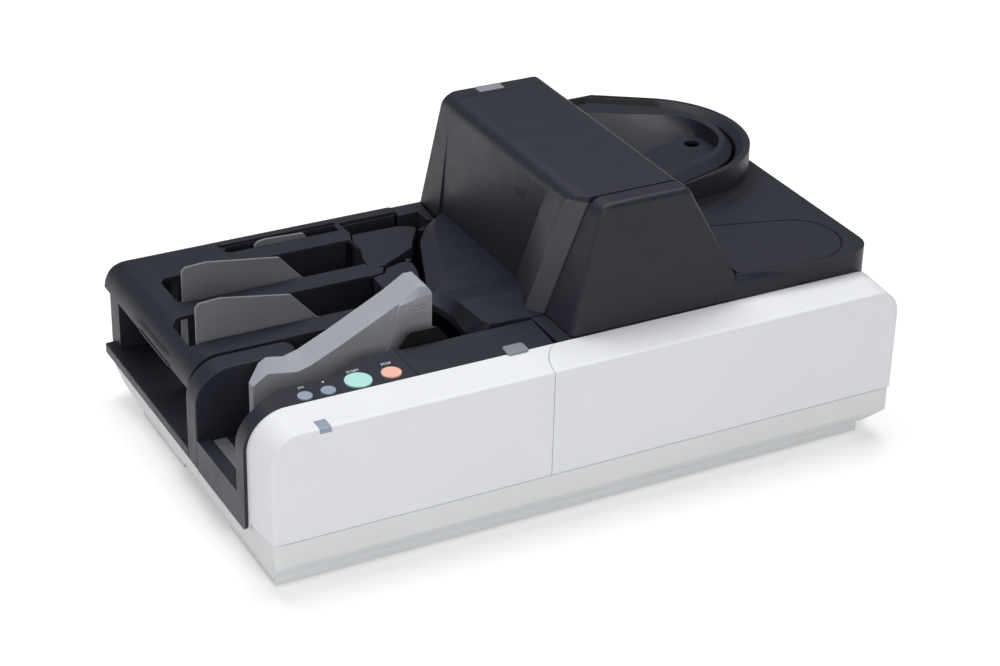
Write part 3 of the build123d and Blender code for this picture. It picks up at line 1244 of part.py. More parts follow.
def leaf_cover():
    """Leaf-shaped cover in the deck, hinged at its left end."""
    top = Pos(0, 0, DECK_Z - THIN) * extrude(leaf_plan(-0.1), THIN)
    top = fillet(top.faces().sort_by(Axis.Z)[-1].edges(), 0.5)
    for y0, y1 in LEAF_EARS:
        a = y1 + 0.5 if y0 < LEAF_Y else y0 - 3.5
        ear = box(LEAF_PIVOT_X - 2.5, LEAF_PIVOT_X + 2.5, a, a + 3, LEAF_PIVOT_Z - 2, DECK_Z - 1)
        top += ear
        p = a - 4 if y0 < LEAF_Y else a + 2
        top += rod_y(LEAF_PIVOT_X, LEAF_PIVOT_Z, p, p + 5, PIN_D)
    return top


def rear_panel():
    """Rear casing behind the tower, with the openings of the sockets and the switch."""
    x0 = HOOD_X - 1
    back = POCKET_DEPTH - 1
    top = ROOF_Z - 0.4
    body = roof_side(top) - roof_side(top, SKIN)
    body = body & box(x0, TAIL_X0 - 1, TOWER_REAR_FOOT + 1, CASE_DEPTH, SEAM_Z, TOWER_Z)
    body += box(TAIL_X0 - SKIN, TAIL_X0, back - SKIN, CASE_DEPTH, SEAM_Z, TAIL_TOP)
    body += box(TAIL_X0 - SKIN, LOOP_X0 - SLIT, CASE_DEPTH - SKIN, CASE_DEPTH, SEAM_Z, TAIL_TOP)
    body -= box(SWITCH_X, SWITCH_X + 14, CASE_DEPTH - 9, CASE_DEPTH + 1, 56, 78)
    body -= box(INLET_X, INLET_X + 28, CASE_DEPTH - 9, CASE_DEPTH + 1, 56, 76)
    body -= box(USB_X, USB_X + 13, CASE_DEPTH - 9, CASE_DEPTH + 1, 58, 70)
    return body


def sockets():
    """Power inlet, data socket and the frame of the switch in the rear casing."""
    y = CASE_DEPTH
    inlet = box(INLET_X, INLET_X + 28, y - 15, y, 56, 76)
    inlet -= box(INLET_X + 2.5, INLET_X + 25.5, y - 13, y + 1, 58.5, 73.5)
    for x, z in ((14, 68), (7, 64), (21, 64)):
        inlet += box(INLET_X + x - 1, INLET_X + x + 1, y - 14, y - 5, z - 2, z + 2)
    data = box(USB_X, USB_X + 13, y - 13, y, 58, 70)
    data -= box(USB_X + 1.5, USB_X + 11.5, y - 9, y + 1, 59.5, 68.5)
    data += box(USB_X + 4, USB_X + 9, y - 10, y - 2, 62.5, 65.5)
    return [inlet, data, switch_frame()]


def power_switch():
    """Rocker of the power switch, on its pivot bosses."""
    y = CASE_DEPTH
    x0 = SWITCH_X + 2.2
    x1 = SWITCH_X + 11.8
    rocker = prism_x([(y - 6, 60.5), (y - 1.5, 58.8), (y - 0.1, 67), (y - 1.5, 75.2),
                      (y - 6, 73.5)], x0, x1, [1.0, 1.0, 8.0, 1.0, 1.0])
    rocker -= rod_x(y - 4, 67, x0 - 1, x1 + 1, 2 + 2 * BORE_GAP)
    return rocker


def switch_frame():
    """Frame of the power switch with its pivot."""
    y = CASE_DEPTH
    frame = box(SWITCH_X, SWITCH_X + 14, y - 10, y, 56, 78)
    frame -= box(SWITCH_X + 1.8, SWITCH_X + 12.2, y - 8.6, y + 1, 57.8, 76.2)
    return frame + rod_x(y - 4, 67, SWITCH_X + 1, SWITCH_X + 13, 2)


def write(name, shape):
    """Shift a part to the shared origin and write it."""
    pieces = shape if isinstance(shape, list) else [shape]
    solids = []
    for piece in pieces:
        solids += list(piece.solids())
    solids = [Pos(-MID_X, -MID_Y, 0) * s for s in solids]
    whole = solids[0] if len(solids) == 1 else Compound(children=solids)
    whole.label = name
    export_step(whole, "parts/" + name + ".step")
    print(name, len(solids))


def main():
    os.makedirs("parts", exist_ok=True)
    write("base_casing", base_casing())
    write("rubber_feet", rubber_feet())
    write("chassis_plate", chassis_plate())
    write("chassis_screws", chassis_screws())
    write("main_board", main_board())
    write("front_left_cover", front_left_cover())
    write("front_right_cover", front_right_cover())
    write("lens", lens())
    write("end_frame", end_frame())
    for name, x, y, d in BUTTONS:
        write(name, button(x, y, d))
    write("button_board", button_board())
    write("feeder_floor", feeder_floor())
    write("feeder_strip", feeder_strip())
    write("feeder_cover", feeder_cover())
    write("feeder_cover_tab", feeder_cover_tab())
    write("feeder_hinge_pin", feeder_hinge_pin())
    write("feed_bracket", feed_bracket())
    write("feed_guide", feed_guide())
    write("pusher", pusher())
    write("pusher_rod", pusher_rod())
    write("pick_shaft", spindle(PICK_X, PICK_Y))
    write("pick_tyres", tyres(PICK_X, PICK_Y, PICK_D))
    write("feed_shaft", spindle(FEED_X, FEED_Y))
    write("feed_tyres", tyres(FEED_X, FEED_Y, FEED_D))
    write("drive_motor", drive_motor())
    write("motor_shaft", motor_shaft())
    write("drive_belts", drive_belts())
    write("divider_wall", divider_wall())
    write("pocket_roof", pocket_roof())
    write("pocket_tray", pocket_tray())
    write("rear_wall", rear_wall())
    write("pocket_guides", pocket_guides())
    write("stacker_front", stacker_plate(0, 14, 98, 32))
    write("stacker_middle", stacker_plate(1, 28, 100, 29))
    write("stacker_rear", stacker_plate(2, 113, 46, 5))
    write("stacker_pins", stacker_pins())
    write("gate_rear", gate(250.5, 279.5, 256.5, 287.5, FLOOR_Z))
    write("gate_middle", gate(216.8, 235.0, 221.8, 240.4, TRAY_Z))
    write("corner_wall", corner_wall())
    write("track_bed", track_bed())
    write("track_walls", track_walls())
    write("scan_modules", scan_modules())
    write("scan_glasses", scan_glasses())
    write("track_cover", track_cover())
    write("tower_hood", tower_hood())
    write("hood_pins", hood_pins())
    write("tower_stripe", tower_stripe())
    write("front_cap", front_cap())
    write("tower_rear", tower_rear())
    write("hood_latch", hood_latch())
    write("loop_rim", loop_rim())
    write("loop_island", loop_island())
    write("deck", deck())
    write("leaf_cover", leaf_cover())
    write("rear_panel", rear_panel())
    write("sockets", sockets())
    write("power_switch", power_switch())


main()
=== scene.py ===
# %% [markdown]
# # A desktop cheque scanner
#
# The real machine is a low office scanner about half a metre long. Cheques stand on edge in
# the feeder at the front left, run through the dark tower, turn round the loop at the right
# end and come back along the rear into three slotted pockets. The CAD model already holds
# every piece at its real size, so this lesson is about finish: rounded moulding edges, the
# grain of the plastics, the small printed and moulded details, the light and the camera.
#
# The first cell loads the imported model, and a small helper gives the box of any one part.
# Nothing added later may make the machine bigger than it is.

import json
import math

import bmesh
import bpy
import numpy as np
from mathutils import Matrix, Vector


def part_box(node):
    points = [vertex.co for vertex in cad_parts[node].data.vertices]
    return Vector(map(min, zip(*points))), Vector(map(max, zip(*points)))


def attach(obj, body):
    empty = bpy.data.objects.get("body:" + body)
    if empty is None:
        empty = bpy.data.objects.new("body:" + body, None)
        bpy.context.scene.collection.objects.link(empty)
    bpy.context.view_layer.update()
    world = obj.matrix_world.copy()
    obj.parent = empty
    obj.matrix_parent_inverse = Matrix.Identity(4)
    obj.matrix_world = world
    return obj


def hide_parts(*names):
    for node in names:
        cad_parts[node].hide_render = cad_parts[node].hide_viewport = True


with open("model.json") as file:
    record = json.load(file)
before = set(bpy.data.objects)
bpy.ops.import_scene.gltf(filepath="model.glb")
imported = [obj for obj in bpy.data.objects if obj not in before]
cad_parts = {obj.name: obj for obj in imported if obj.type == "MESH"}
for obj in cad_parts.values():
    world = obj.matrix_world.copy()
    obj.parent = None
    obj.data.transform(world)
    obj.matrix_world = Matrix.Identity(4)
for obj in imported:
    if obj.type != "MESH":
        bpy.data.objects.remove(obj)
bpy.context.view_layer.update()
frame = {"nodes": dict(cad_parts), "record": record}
body_of_node = {node: body for body, nodes in frame["record"]["behaviour"]["bodies"].items()
                for node in nodes}
slot_of_node = {row["node"]: row["material_slot"] for row in frame["record"]["subparts"]}

# %% [markdown]
# ## Measures
#
# The drawing of this machine is made in millimetres from the left front corner of the white
# covers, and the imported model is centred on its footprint. One small function turns the
# drawing's numbers into the frame's metres, so that every added detail can be placed by
# the measures of the drawing. A few heights and lengths of the machine are named here because
# several details need them.

# %% From the drawing's millimetres to the frame's metres
MM = 0.001
FOOTPRINT_MIDDLE = np.array([259.0, 171.0, 0.0])
LENGTH = 524.0       # front face of the white covers
CASE_TOP = 44.0      # top of the lower case
STRIP_TOP = 131.0    # top of the covers and the control strip
DECK_TOP = 149.0     # deck to the right of the tower


def at(points):
    """Points of the drawing, in mm, as points of the frame: less the middle, times a
    thousandth."""
    return (np.asarray(points, float) - FOOTPRINT_MIDDLE) * MM


print("left front foot of the covers is at", at([0, 0, 0]))

# %% [markdown]
# ## The camera
#
# The photograph was taken from the left front with a short telephoto lens, about 1.6 m away
# and 29 degrees above the table. The straight joints of the covers gave its place. The
# camera's three axes are worked out from a heading, a tilt and a small roll.

# %% Camera
CAMERA_SPOT = at([-543.0, -1322.7, 995.7])
HEADING = math.radians(28.47)
TILT = math.radians(28.64)
ROLL = math.radians(1.48)
SENSOR_WIDTH = 36.0
FOCAL_PIXELS = 2448.7
PHOTO_WIDTH = 1000.0


def camera_axes(heading, tilt, roll):
    """Right, up and forward of a camera: forward turns from +Y towards +X by the heading
    and down by the tilt, and right and up then turn about it by the roll."""
    forward = np.array([math.sin(heading) * math.cos(tilt), math.cos(heading) * math.cos(tilt),
                        -math.sin(tilt)])
    right = np.array([math.cos(heading), -math.sin(heading), 0.0])
    up = np.cross(right, forward)
    turned_right = math.cos(roll) * right + math.sin(roll) * up
    turned_up = math.cos(roll) * up - math.sin(roll) * right
    return turned_right, turned_up, forward


right, up, forward = camera_axes(HEADING, TILT, ROLL)
camera_data = bpy.data.cameras.new("camera")
camera_data.sensor_width = SENSOR_WIDTH
camera_data.lens = FOCAL_PIXELS / PHOTO_WIDTH * SENSOR_WIDTH
camera = bpy.data.objects.new("camera", camera_data)
bpy.context.scene.collection.objects.link(camera)
camera.matrix_world = Matrix([[right[i], up[i], -forward[i], CAMERA_SPOT[i]] for i in range(3)]
                             + [[0, 0, 0, 1]])
bpy.context.scene.camera = camera
bpy.context.scene.view_settings.view_transform = "Standard"
print("camera lens", round(camera_data.lens, 1), "mm at", CAMERA_SPOT)

# %% [markdown]
# ## Node helpers for the finishes
#
# A moulded plastic isn't one flat colour. The tool it was moulded in leaves a fine grain, the
# gloss drifts a little over a panel, and the colour is never perfectly even. All of the
# finishes below are built from the same few nodes on Object coordinates, so they stay put
# when a piece moves, and each recipe only names what is special about it.

# %% Helpers that add and join shader nodes
def add_node(tree, kind, **settings):
    """A new node of a tree with its sockets set by name and its options by attribute."""
    node = tree.nodes.new(kind)
    for key, value in settings.items():
        if key in node.inputs:
            node.inputs[key].default_value = value
        else:
            setattr(node, key, value)
    return node


def noise_value(tree, place, size, detail=2.0, roughness=0.5):
    """Noise whose blotches are about size metres across, from 0 to 1."""
    noise = add_node(tree, "ShaderNodeTexNoise", Scale=1.0 / size, Detail=detail,
                     Roughness=roughness)
    tree.links.new(place, noise.inputs["Vector"])
    return noise.outputs["Fac"]


def mapped(tree, value, low, high, start=0.3, end=0.7):
    """A value from start to end spread over low to high, and held outside."""
    spread = add_node(tree, "ShaderNodeMapRange")
    spread.inputs["From Min"].default_value = start
    spread.inputs["From Max"].default_value = end
    spread.inputs["To Min"].default_value = low
    spread.inputs["To Max"].default_value = high
    tree.links.new(value, spread.inputs["Value"])
    return spread.outputs["Result"]


def math_value(tree, operation, first, second):
    """Two values, each a socket or a number, joined by one operation of a Math node."""
    node = add_node(tree, "ShaderNodeMath", operation=operation)
    for socket, value in zip(node.inputs, (first, second)):
        if isinstance(value, bpy.types.NodeSocket):
            tree.links.new(value, socket)
        else:
            socket.default_value = value
    return node.outputs[0]


def scaled(colour, factor):
    """A colour made lighter or darker by a factor, with its alpha."""
    return tuple(min(1.0, c * factor) for c in colour[:3]) + (1.0,)


def blank_material(name):
    """A material with one Principled shader and its Object coordinates."""
    material = bpy.data.materials.new(name)
    material.use_nodes = True
    tree = material.node_tree
    shader = tree.nodes["Principled BSDF"]
    place = add_node(tree, "ShaderNodeTexCoord").outputs["Object"]
    return material, tree, shader, place


print("helpers ready")

# %% [markdown]
# ## Moulded plastic
#
# The recipe: a fine noise at the size of the tool's grain goes to a Bump node, a slow noise
# moves the roughness, and another slow noise moves the colour by a few percent. The grain of
# this machine's dark covers is about a third of a millimetre wide and only a few hundredths
# deep, which is what turns the reflections of the lamps into a soft satin sheen.

# %% Recipe for moulded plastic
BLOTCH_SIZE = 0.045    # metres across one blotch of colour
DRIFT_SIZE = 0.018     # metres across one patch of gloss


def moulded_plastic(name, colour, roughness, grain=0.35, depth=0.012, mottle=0.03, drift=0.04,
                    level=0.5):
    """Plastic with a moulding grain of grain mm, depth mm deep; mottle is the share that the
    colour varies, drift the amount that the roughness does, and level the strength of the
    mirror-like part of the reflection."""
    material, tree, shader, place = blank_material(name)
    tint = add_node(tree, "ShaderNodeMix", data_type="RGBA")
    tint.inputs["A"].default_value = scaled(colour, 1 - mottle)
    tint.inputs["B"].default_value = scaled(colour, 1 + mottle)
    blotches = noise_value(tree, place, BLOTCH_SIZE, 4.0)
    tree.links.new(mapped(tree, blotches, 0.0, 1.0), tint.inputs["Factor"])
    tree.links.new(tint.outputs["Result"], shader.inputs["Base Color"])
    gloss = mapped(tree, noise_value(tree, place, DRIFT_SIZE, 3.0), roughness - drift,
                   roughness + drift)
    tree.links.new(gloss, shader.inputs["Roughness"])
    bump = add_node(tree, "ShaderNodeBump", Strength=1.0, Distance=depth * MM)
    tree.links.new(noise_value(tree, place, grain * MM, 2.0, 0.6), bump.inputs["Height"])
    tree.links.new(bump.outputs["Normal"], shader.inputs["Normal"])
    shader.inputs["Specular IOR Level"].default_value = level
    return material


def srgb(red, green, blue):
    """A colour given as it looks on screen, 0 to 255, as the linear light a shader needs."""
    share = np.array([red, green, blue]) / 255.0
    linear = np.where(share <= 0.04045, share / 12.92, ((share + 0.055) / 1.055) ** 2.4)
    return tuple(linear)


CHARCOAL = srgb(39, 41, 51)
finishes = {
    "charcoal_shell": moulded_plastic("charcoal_plastic", CHARCOAL, 0.44, level=0.3),
    "white_shell": moulded_plastic("white_plastic", srgb(237, 239, 243), 0.45, 0.3, 0.006, 0.008),
    "off_white_case": moulded_plastic("off_white_plastic", srgb(230, 232, 234), 0.5, 0.4, 0.01,
                                      0.01),
    "stripe_grey": moulded_plastic("stripe_plastic", srgb(72, 74, 80), 0.45, level=0.35),
    "plate_grey": moulded_plastic("plate_plastic", srgb(120, 122, 129), 0.36),
    "pusher_grey": moulded_plastic("pusher_plastic", srgb(160, 162, 170), 0.45),
    "pale_blue": moulded_plastic("pale_blue_plastic", srgb(150, 162, 182), 0.35, 0.3, 0.004),
    "start_mint": moulded_plastic("mint_plastic", srgb(186, 236, 229), 0.3, 0.3, 0.004),
    "stop_peach": moulded_plastic("peach_plastic", srgb(246, 190, 176), 0.3, 0.3, 0.004),
    "black_gloss": moulded_plastic("gloss_black_plastic", srgb(30, 30, 33), 0.16, 1.5, 0.004),
    "black_part": moulded_plastic("matt_black_plastic", srgb(34, 34, 37), 0.5),
}
print("plastics:", sorted(finishes))

# %% [markdown]
# ## Rubber, steel, boards and glass
#
# The feet and the roller tyres are rubber, dull and slightly dusty. The chassis, shafts and
# pins are steel with fine drawn lines along them. The boards are green lacquer, and the
# windows of the line scanners are clear glass.

# %% Recipes for the other materials
LINE_SIZE = 0.0004     # metres across the drawn lines of the steel
LINE_DEPTH = 0.000008
DUST_SIZE = 0.006


def drawn_steel(name, colour, roughness, stretch):
    """Steel with fine lines: noise stretched along one axis drives roughness and bump."""
    material, tree, shader, place = blank_material(name)
    mapping = add_node(tree, "ShaderNodeMapping")
    mapping.inputs["Scale"].default_value = stretch
    tree.links.new(place, mapping.inputs["Vector"])
    lines = noise_value(tree, mapping.outputs["Vector"], LINE_SIZE, 3.0, 0.6)
    tree.links.new(mapped(tree, lines, roughness - 0.08, roughness + 0.1),
                   shader.inputs["Roughness"])
    bump = add_node(tree, "ShaderNodeBump", Strength=0.5, Distance=LINE_DEPTH)
    tree.links.new(lines, bump.inputs["Height"])
    tree.links.new(bump.outputs["Normal"], shader.inputs["Normal"])
    shader.inputs["Base Color"].default_value = scaled(colour, 1.0)
    shader.inputs["Metallic"].default_value = 1.0
    return material


def clear_glass(name):
    """Clear glass with faint dust that roughens it in patches."""
    material, tree, shader, place = blank_material(name)
    dust = noise_value(tree, place, DUST_SIZE, 4.0)
    tree.links.new(mapped(tree, dust, 0.02, 0.12), shader.inputs["Roughness"])
    shader.inputs["Base Color"].default_value = (0.9, 0.95, 0.95, 1.0)
    shader.inputs["Transmission Weight"].default_value = 0.9
    shader.inputs["IOR"].default_value = 1.5
    return material


finishes["rubber"] = moulded_plastic("dull_rubber", srgb(44, 44, 45), 0.78, 0.5, 0.03, 0.08)
finishes["steel"] = drawn_steel("drawn_steel", (0.62, 0.62, 0.64), 0.3, (1.0, 1.0, 0.04))
finishes["zinc_sheet"] = drawn_steel("zinc_sheet", (0.55, 0.56, 0.57), 0.42, (0.05, 1.0, 1.0))
finishes["board_green"] = moulded_plastic("board_lacquer", srgb(28, 86, 56), 0.3, 0.8, 0.02, 0.1)
finishes["glass"] = clear_glass("window_glass")
finishes["tab_grey"] = moulded_plastic("tab_plastic", srgb(136, 140, 150), 0.35, 0.3, 0.004)
OWN_FINISH = {"feeder_cover_tab": "tab_grey", "hood_latch": "tab_grey"}


def finish_of(node):
    """The material of a node: its own one if it has one, else that of its slot."""
    return finishes[OWN_FINISH.get(node, slot_of_node[node])]


for node in slot_of_node:
    mesh = frame["nodes"][node].data
    mesh.materials.clear()
    mesh.materials.append(finish_of(node))
print("finishes:", len(finishes))

# %% [markdown]
# ## Rounded edges
#
# Nothing moulded has a knife edge. The CAD solids do, so each visible part gets a copy whose
# triangles are joined back into faces and whose edges are rounded by a Bevel modifier. The
# copy then stands in for the solid, and rides on the same body. A rounding of three to six
# tenths of a millimetre is enough to catch a thin line of light, as it does in the photograph,
# and the large covers get up to 1.8 mm.
#
# The weight of an edge says how much of its part's rounding it gets. Edges that bend only a
# little get none, except on the cover between pockets and tower, whose flat facets meet at
# small angles.

# %% Copies of the CAD parts with rounded edges
SHARP = math.radians(30)
FACETED = {"track_cover": math.radians(7)}
SAME_PLACE = 2e-6                # metres between corners that are one corner
SAME_PLANE = math.radians(0.4)
CASE_OUTSIDE = 43.5              # the case's edges below this height, in mm, and longer
CASE_EDGE = 12.0                 # than this get the full rounding
INSIDE_SHARE = 0.3
PUSHER_GRIPS = 98.2              # the grips lie in front of this y


def bevel_share(node, low, high, length):
    """How much of the node's rounding an edge gets, from the edge's corners and length in mm:
    the lower case is rounded most along its long edges below the seam, and the pusher's
    raised grips stay crisp."""
    if node == "base_casing":
        return 1.0 if high[2] < CASE_OUTSIDE and length > CASE_EDGE else INSIDE_SHARE
    if node == "pusher":
        return 0.0 if low[1] < PUSHER_GRIPS else 1.0
    return 1.0


def bevel_weights(mesh, node, sharp):
    """Weight of each edge bent by more than the sharp angle, and 0 for the others."""
    work = bmesh.new()
    work.from_mesh(mesh)
    layer = work.edges.layers.float.new("bevel_weight_edge")
    for edge in work.edges:
        ends = np.array([v.co[:] for v in edge.verts]) / MM + FOOTPRINT_MIDDLE
        bent = len(edge.link_faces) == 2 and edge.calc_face_angle(0.0) > sharp
        share = bevel_share(node, ends.min(0), ends.max(0), edge.calc_length() / MM)
        edge[layer] = share if bent else 0.0
    work.to_mesh(mesh)
    work.free()


def merged_mesh(node, name):
    """The node's triangles as one closed mesh: doubled corners are merged and flat
    neighbours dissolved into single faces."""
    source = frame["nodes"][node].data
    corners = np.empty(len(source.vertices) * 3)
    source.vertices.foreach_get("co", corners)
    triangles = np.empty(len(source.loops), int)
    source.loops.foreach_get("vertex_index", triangles)
    mesh = bpy.data.meshes.new(name)
    mesh.from_pydata(corners.reshape(-1, 3), [], triangles.reshape(-1, 3).tolist())
    work = bmesh.new()
    work.from_mesh(mesh)
    bmesh.ops.remove_doubles(work, verts=work.verts, dist=SAME_PLACE)
    bmesh.ops.dissolve_limit(work, angle_limit=SAME_PLANE, verts=work.verts, edges=work.edges)
    work.to_mesh(mesh)
    work.free()
    sharp = FACETED.get(node, SHARP)
    bevel_weights(mesh, node, sharp)
    mesh.shade_smooth()
    mesh.set_sharp_from_angle(angle=sharp)
    return mesh


def rounded(piece, width):
    """Bevel and Weighted Normal modifiers: edges rounded to width mm times their weight."""
    bevel = piece.modifiers.new("rounding", "BEVEL")
    bevel.width = width * MM
    bevel.segments = 2
    bevel.limit_method = "WEIGHT"
    bevel.miter_outer = "MITER_ARC"
    bevel.harden_normals = True
    weighted = piece.modifiers.new("even_normals", "WEIGHTED_NORMAL")
    weighted.keep_sharp = True


def finished(node, width):
    """A copy of a CAD node with edges rounded to width mm, which replaces it on its body."""
    piece = bpy.data.objects.new(node + "_finished", merged_mesh(node, node + "_finished"))
    bpy.context.scene.collection.objects.link(piece)
    piece.data.materials.append(finish_of(node))
    rounded(piece, width)
    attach(piece, body_of_node[node])
    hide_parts(node)
    return piece


ROUNDING = {
    "base_casing": 1.2, "front_left_cover": 0.3, "front_right_cover": 0.3, "lens": 0.3,
    "end_frame": 0.6, "button_jog": 0.3, "button_up": 0.3, "button_start": 0.3,
    "button_stop": 0.3, "feeder_floor": 0.4, "feeder_strip": 0.3, "feeder_cover": 0.5,
    "feeder_cover_tab": 0.3, "feed_guide": 0.5, "pusher": 0.5, "divider_wall": 1.0,
    "pocket_roof": 1.8, "pocket_tray": 0.5, "rear_wall": 0.6, "pocket_guides": 0.6,
    "stacker_front": 0.6, "stacker_middle": 0.6, "stacker_rear": 0.6, "corner_wall": 0.8,
    "track_cover": 0.6, "tower_hood": 0.8, "tower_stripe": 0.3, "front_cap": 1.6,
    "tower_rear": 0.6, "hood_latch": 0.6, "loop_rim": 1.5, "loop_island": 1.2, "deck": 1.0,
    "leaf_cover": 0.5, "rear_panel": 0.8, "sockets": 0.3, "power_switch": 0.4,
}
parts = {node: finished(node, width) for node, width in ROUNDING.items()}
print("rounded parts:", len(parts))

# %% [markdown]
# ## Helpers for small added pieces
#
# The small raised details are closed tubes: a cross-section is carried along a path, and the
# two ends are capped. The points of every section are worked out together as one array, and
# the faces between neighbouring sections come from shifting an array of numbers.

# %% Closed tubes and their pieces
def tube_faces(sections, around):
    """Quads between neighbouring sections of a closed tube, and a cap at each end."""
    index = np.arange(sections * around).reshape(sections, around)
    near, far = index[:-1], index[1:]
    quads = np.stack([near, np.roll(near, -1, 1), np.roll(far, -1, 1), far], -1)
    return quads.reshape(-1, 4).tolist() + [index[0][::-1].tolist(), index[-1].tolist()]


def new_piece(name, points, faces, body, slot_name, finish=None):
    """A piece from drawing points in mm, with its faces turned outwards."""
    mesh = bpy.data.meshes.new(name)
    mesh.from_pydata(at(points).reshape(-1, 3).tolist(), [], faces)
    work = bmesh.new()
    work.from_mesh(mesh)
    bmesh.ops.recalc_face_normals(work, faces=work.faces)
    work.to_mesh(mesh)
    work.free()
    mesh.shade_smooth()
    mesh.set_sharp_from_angle(angle=SHARP)
    piece = bpy.data.objects.new(name, mesh)
    bpy.context.scene.collection.objects.link(piece)
    mesh.materials.append(finish or finishes[slot_name])
    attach(piece, body)
    return piece


def along_x(x, section):
    """Points of a section at every x; the section is a list of y and z, each of them one
    number or one number per x."""
    return np.stack([np.stack(np.broadcast_arrays(x, y, z), -1) for y, z in section], 1)


def rib(name, start, end, bow, side, rise, body, slot_name, sections=17, around=10):
    """A slim rib from start to end: an ellipse carried along the line, which bows by the
    vector bow in the middle; side and rise are the ellipse's half axes, and both shrink to
    nothing at the ends as the square root of 1 - t to the eighth."""
    t = np.linspace(-1, 1, sections)[:, None, None]
    angle = np.linspace(0, 2 * np.pi, around, endpoint=False)[None, :, None]
    start, end, bow = (np.asarray(v, float) for v in (start, end, bow))
    middle = (start + end) / 2 + t * (end - start) / 2 + (1 - t ** 2) * bow
    fade = np.sqrt(np.maximum(1 - t ** 8, 0.004))
    points = middle + fade * (np.cos(angle) * np.asarray(side) + np.sin(angle) * np.asarray(rise))
    return new_piece(name, points, tube_faces(sections, around), body, slot_name)


print("tube helpers ready")

# %% [markdown]
# ## Grips on the tower and a rib on the roof
#
# Three short curved grips on the tower's left face show where a hand lifts the hood. They are
# half a millimetre high, so they only show by their edges. The pocket roof has a slim rib on
# its left shoulder, which is an arc of 25 mm radius: the rib's x follows from its height.

# %% Grips and rib
GRIPS = (((166.8, 197.0), (146.0, 194.6)), ((161.8, 199.9), (143.7, 198.4)),
         ((156.7, 202.6), (142.4, 202.0)))    # y and z of both ends of each grip
GRIP_X = 271.0
SHOULDER_RADIUS = 25.0
RIB_HEIGHT = 101.0
RIB_REAR, RIB_FRONT = 258.0, 190.0
for number, ((y0, z0), (y1, z1)) in enumerate(GRIPS):
    rib("hood_grip_%d" % number, (GRIP_X, y0, z0), (GRIP_X, y1, z1), (0, 0, -0.6),
        (0, 0, 0.55), (0.55, 0, 0), "hood", "charcoal_shell")
roof_low, roof_high = (np.array(v) / MM + FOOTPRINT_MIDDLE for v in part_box("pocket_roof"))
over_centre = RIB_HEIGHT - roof_high[2] + SHOULDER_RADIUS
shoulder = roof_low[0] + SHOULDER_RADIUS - math.sqrt(SHOULDER_RADIUS ** 2 - over_centre ** 2)
rib("roof_rib_long", (shoulder, RIB_REAR, RIB_HEIGHT), (shoulder, RIB_FRONT, RIB_HEIGHT),
    (0, 0, 0), (0, 0, 0.7), (0.6, 0, 0), "body", "charcoal_shell")
print("grips:", len(GRIPS), "roof shoulder x", round(shoulder, 2))

# %% [markdown]
# ## Shadow line under the covers
#
# The white covers stand half a millimetre above the lower case, and in the photograph that
# gap is dark. A thin black band just inside the covers' faces closes the gap and draws the
# same fine line.

# %% Black band behind the gap
COVER_DEPTH = 37.6     # the band ends at the rear of the covers
COVER_SPLAY = 3.0      # the left end widens by this towards the rear


def shadow_band(depth=0.7, thick=1.2):
    """A band of rectangular section, depth mm inside the covers' faces and thick mm across,
    along the front and round both ends."""
    outer = np.array([[depth - COVER_SPLAY, COVER_DEPTH], [depth, depth],
                      [LENGTH - depth, depth], [LENGTH - depth, COVER_DEPTH]])
    inner = outer + np.array([[thick, 0], [thick, thick], [-thick, thick], [-thick, 0]])
    low, high = CASE_TOP - 0.02, CASE_TOP + 0.56
    rings = [np.hstack([p, [[low]] * 4]) for p in (outer, inner)]
    rings += [np.hstack([p, [[high]] * 4]) for p in (inner, outer)]
    sections = np.stack(rings, 1)
    return new_piece("shadow_band", sections, tube_faces(4, 4), "body", "black_part")


shadow_band()
print("shadow band placed")

# %% [markdown]
# ## Sill beside the tower's front
#
# To the right of the tower the face of its front cap runs on as a low sill. The cap's edge
# turns into the sill's top in a hollow curve, and from there the surface slopes back to the
# deck. The sill is a section in y and z whose height changes along x.

# %% Sill from the cap to the right
SILL_TOP = 144.0
SILL_FACE = 38.31      # y of its face at the height of the covers
CAP_SLOPE = 0.53       # the cap's right edge moves in by this per mm of height
CAP_LEAN = 0.12        # the cap's face leans back by this per mm of height
HOLLOW = 3.0           # softness of the curve between the two


def front_sill(count=56):
    """The cap's edge is a straight line and the sill another; the top is their smooth
    maximum, sill + h log(1 + e^((edge - sill) / h)), and rises into the deck's wall at the
    right end by the curve 3 t^2 - 2 t^3. The face leans back as the cap's does."""
    x = np.concatenate([np.linspace(391.5, 404.0, count // 2, endpoint=False),
                        np.linspace(404.0, 456.0, count // 2)])
    cap_edge = DECK_TOP + (395.5 - x) / CAP_SLOPE
    top = SILL_TOP + HOLLOW * np.log1p(np.exp((cap_edge - SILL_TOP) / HOLLOW))
    rise = np.clip((x - 438.0) / 18.0, 0, 1)
    top += 4.7 * rise ** 2 * (3 - 2 * rise)
    face = SILL_FACE + CAP_LEAN * (top - STRIP_TOP)
    deck_edge = np.interp(x, [402.0, 447.0, 490.0], [45.2, 40.0, 38.6])
    high = np.maximum(DECK_TOP + 0.03, top + 0.02)
    foot = STRIP_TOP - 0.2
    section = [(SILL_FACE - 0.03, foot), (face, top - 0.7), (face + 0.3, top),
               (face + 1.0, np.minimum(top + 0.5, high)), (deck_edge + 0.7, high),
               (deck_edge + 1.6, DECK_TOP - 1.5), (deck_edge + 1.6, foot)]
    return new_piece("front_sill", along_x(x, section), tube_faces(count, 7), "body",
                     "charcoal_shell")


front_sill()
print("front sill placed")
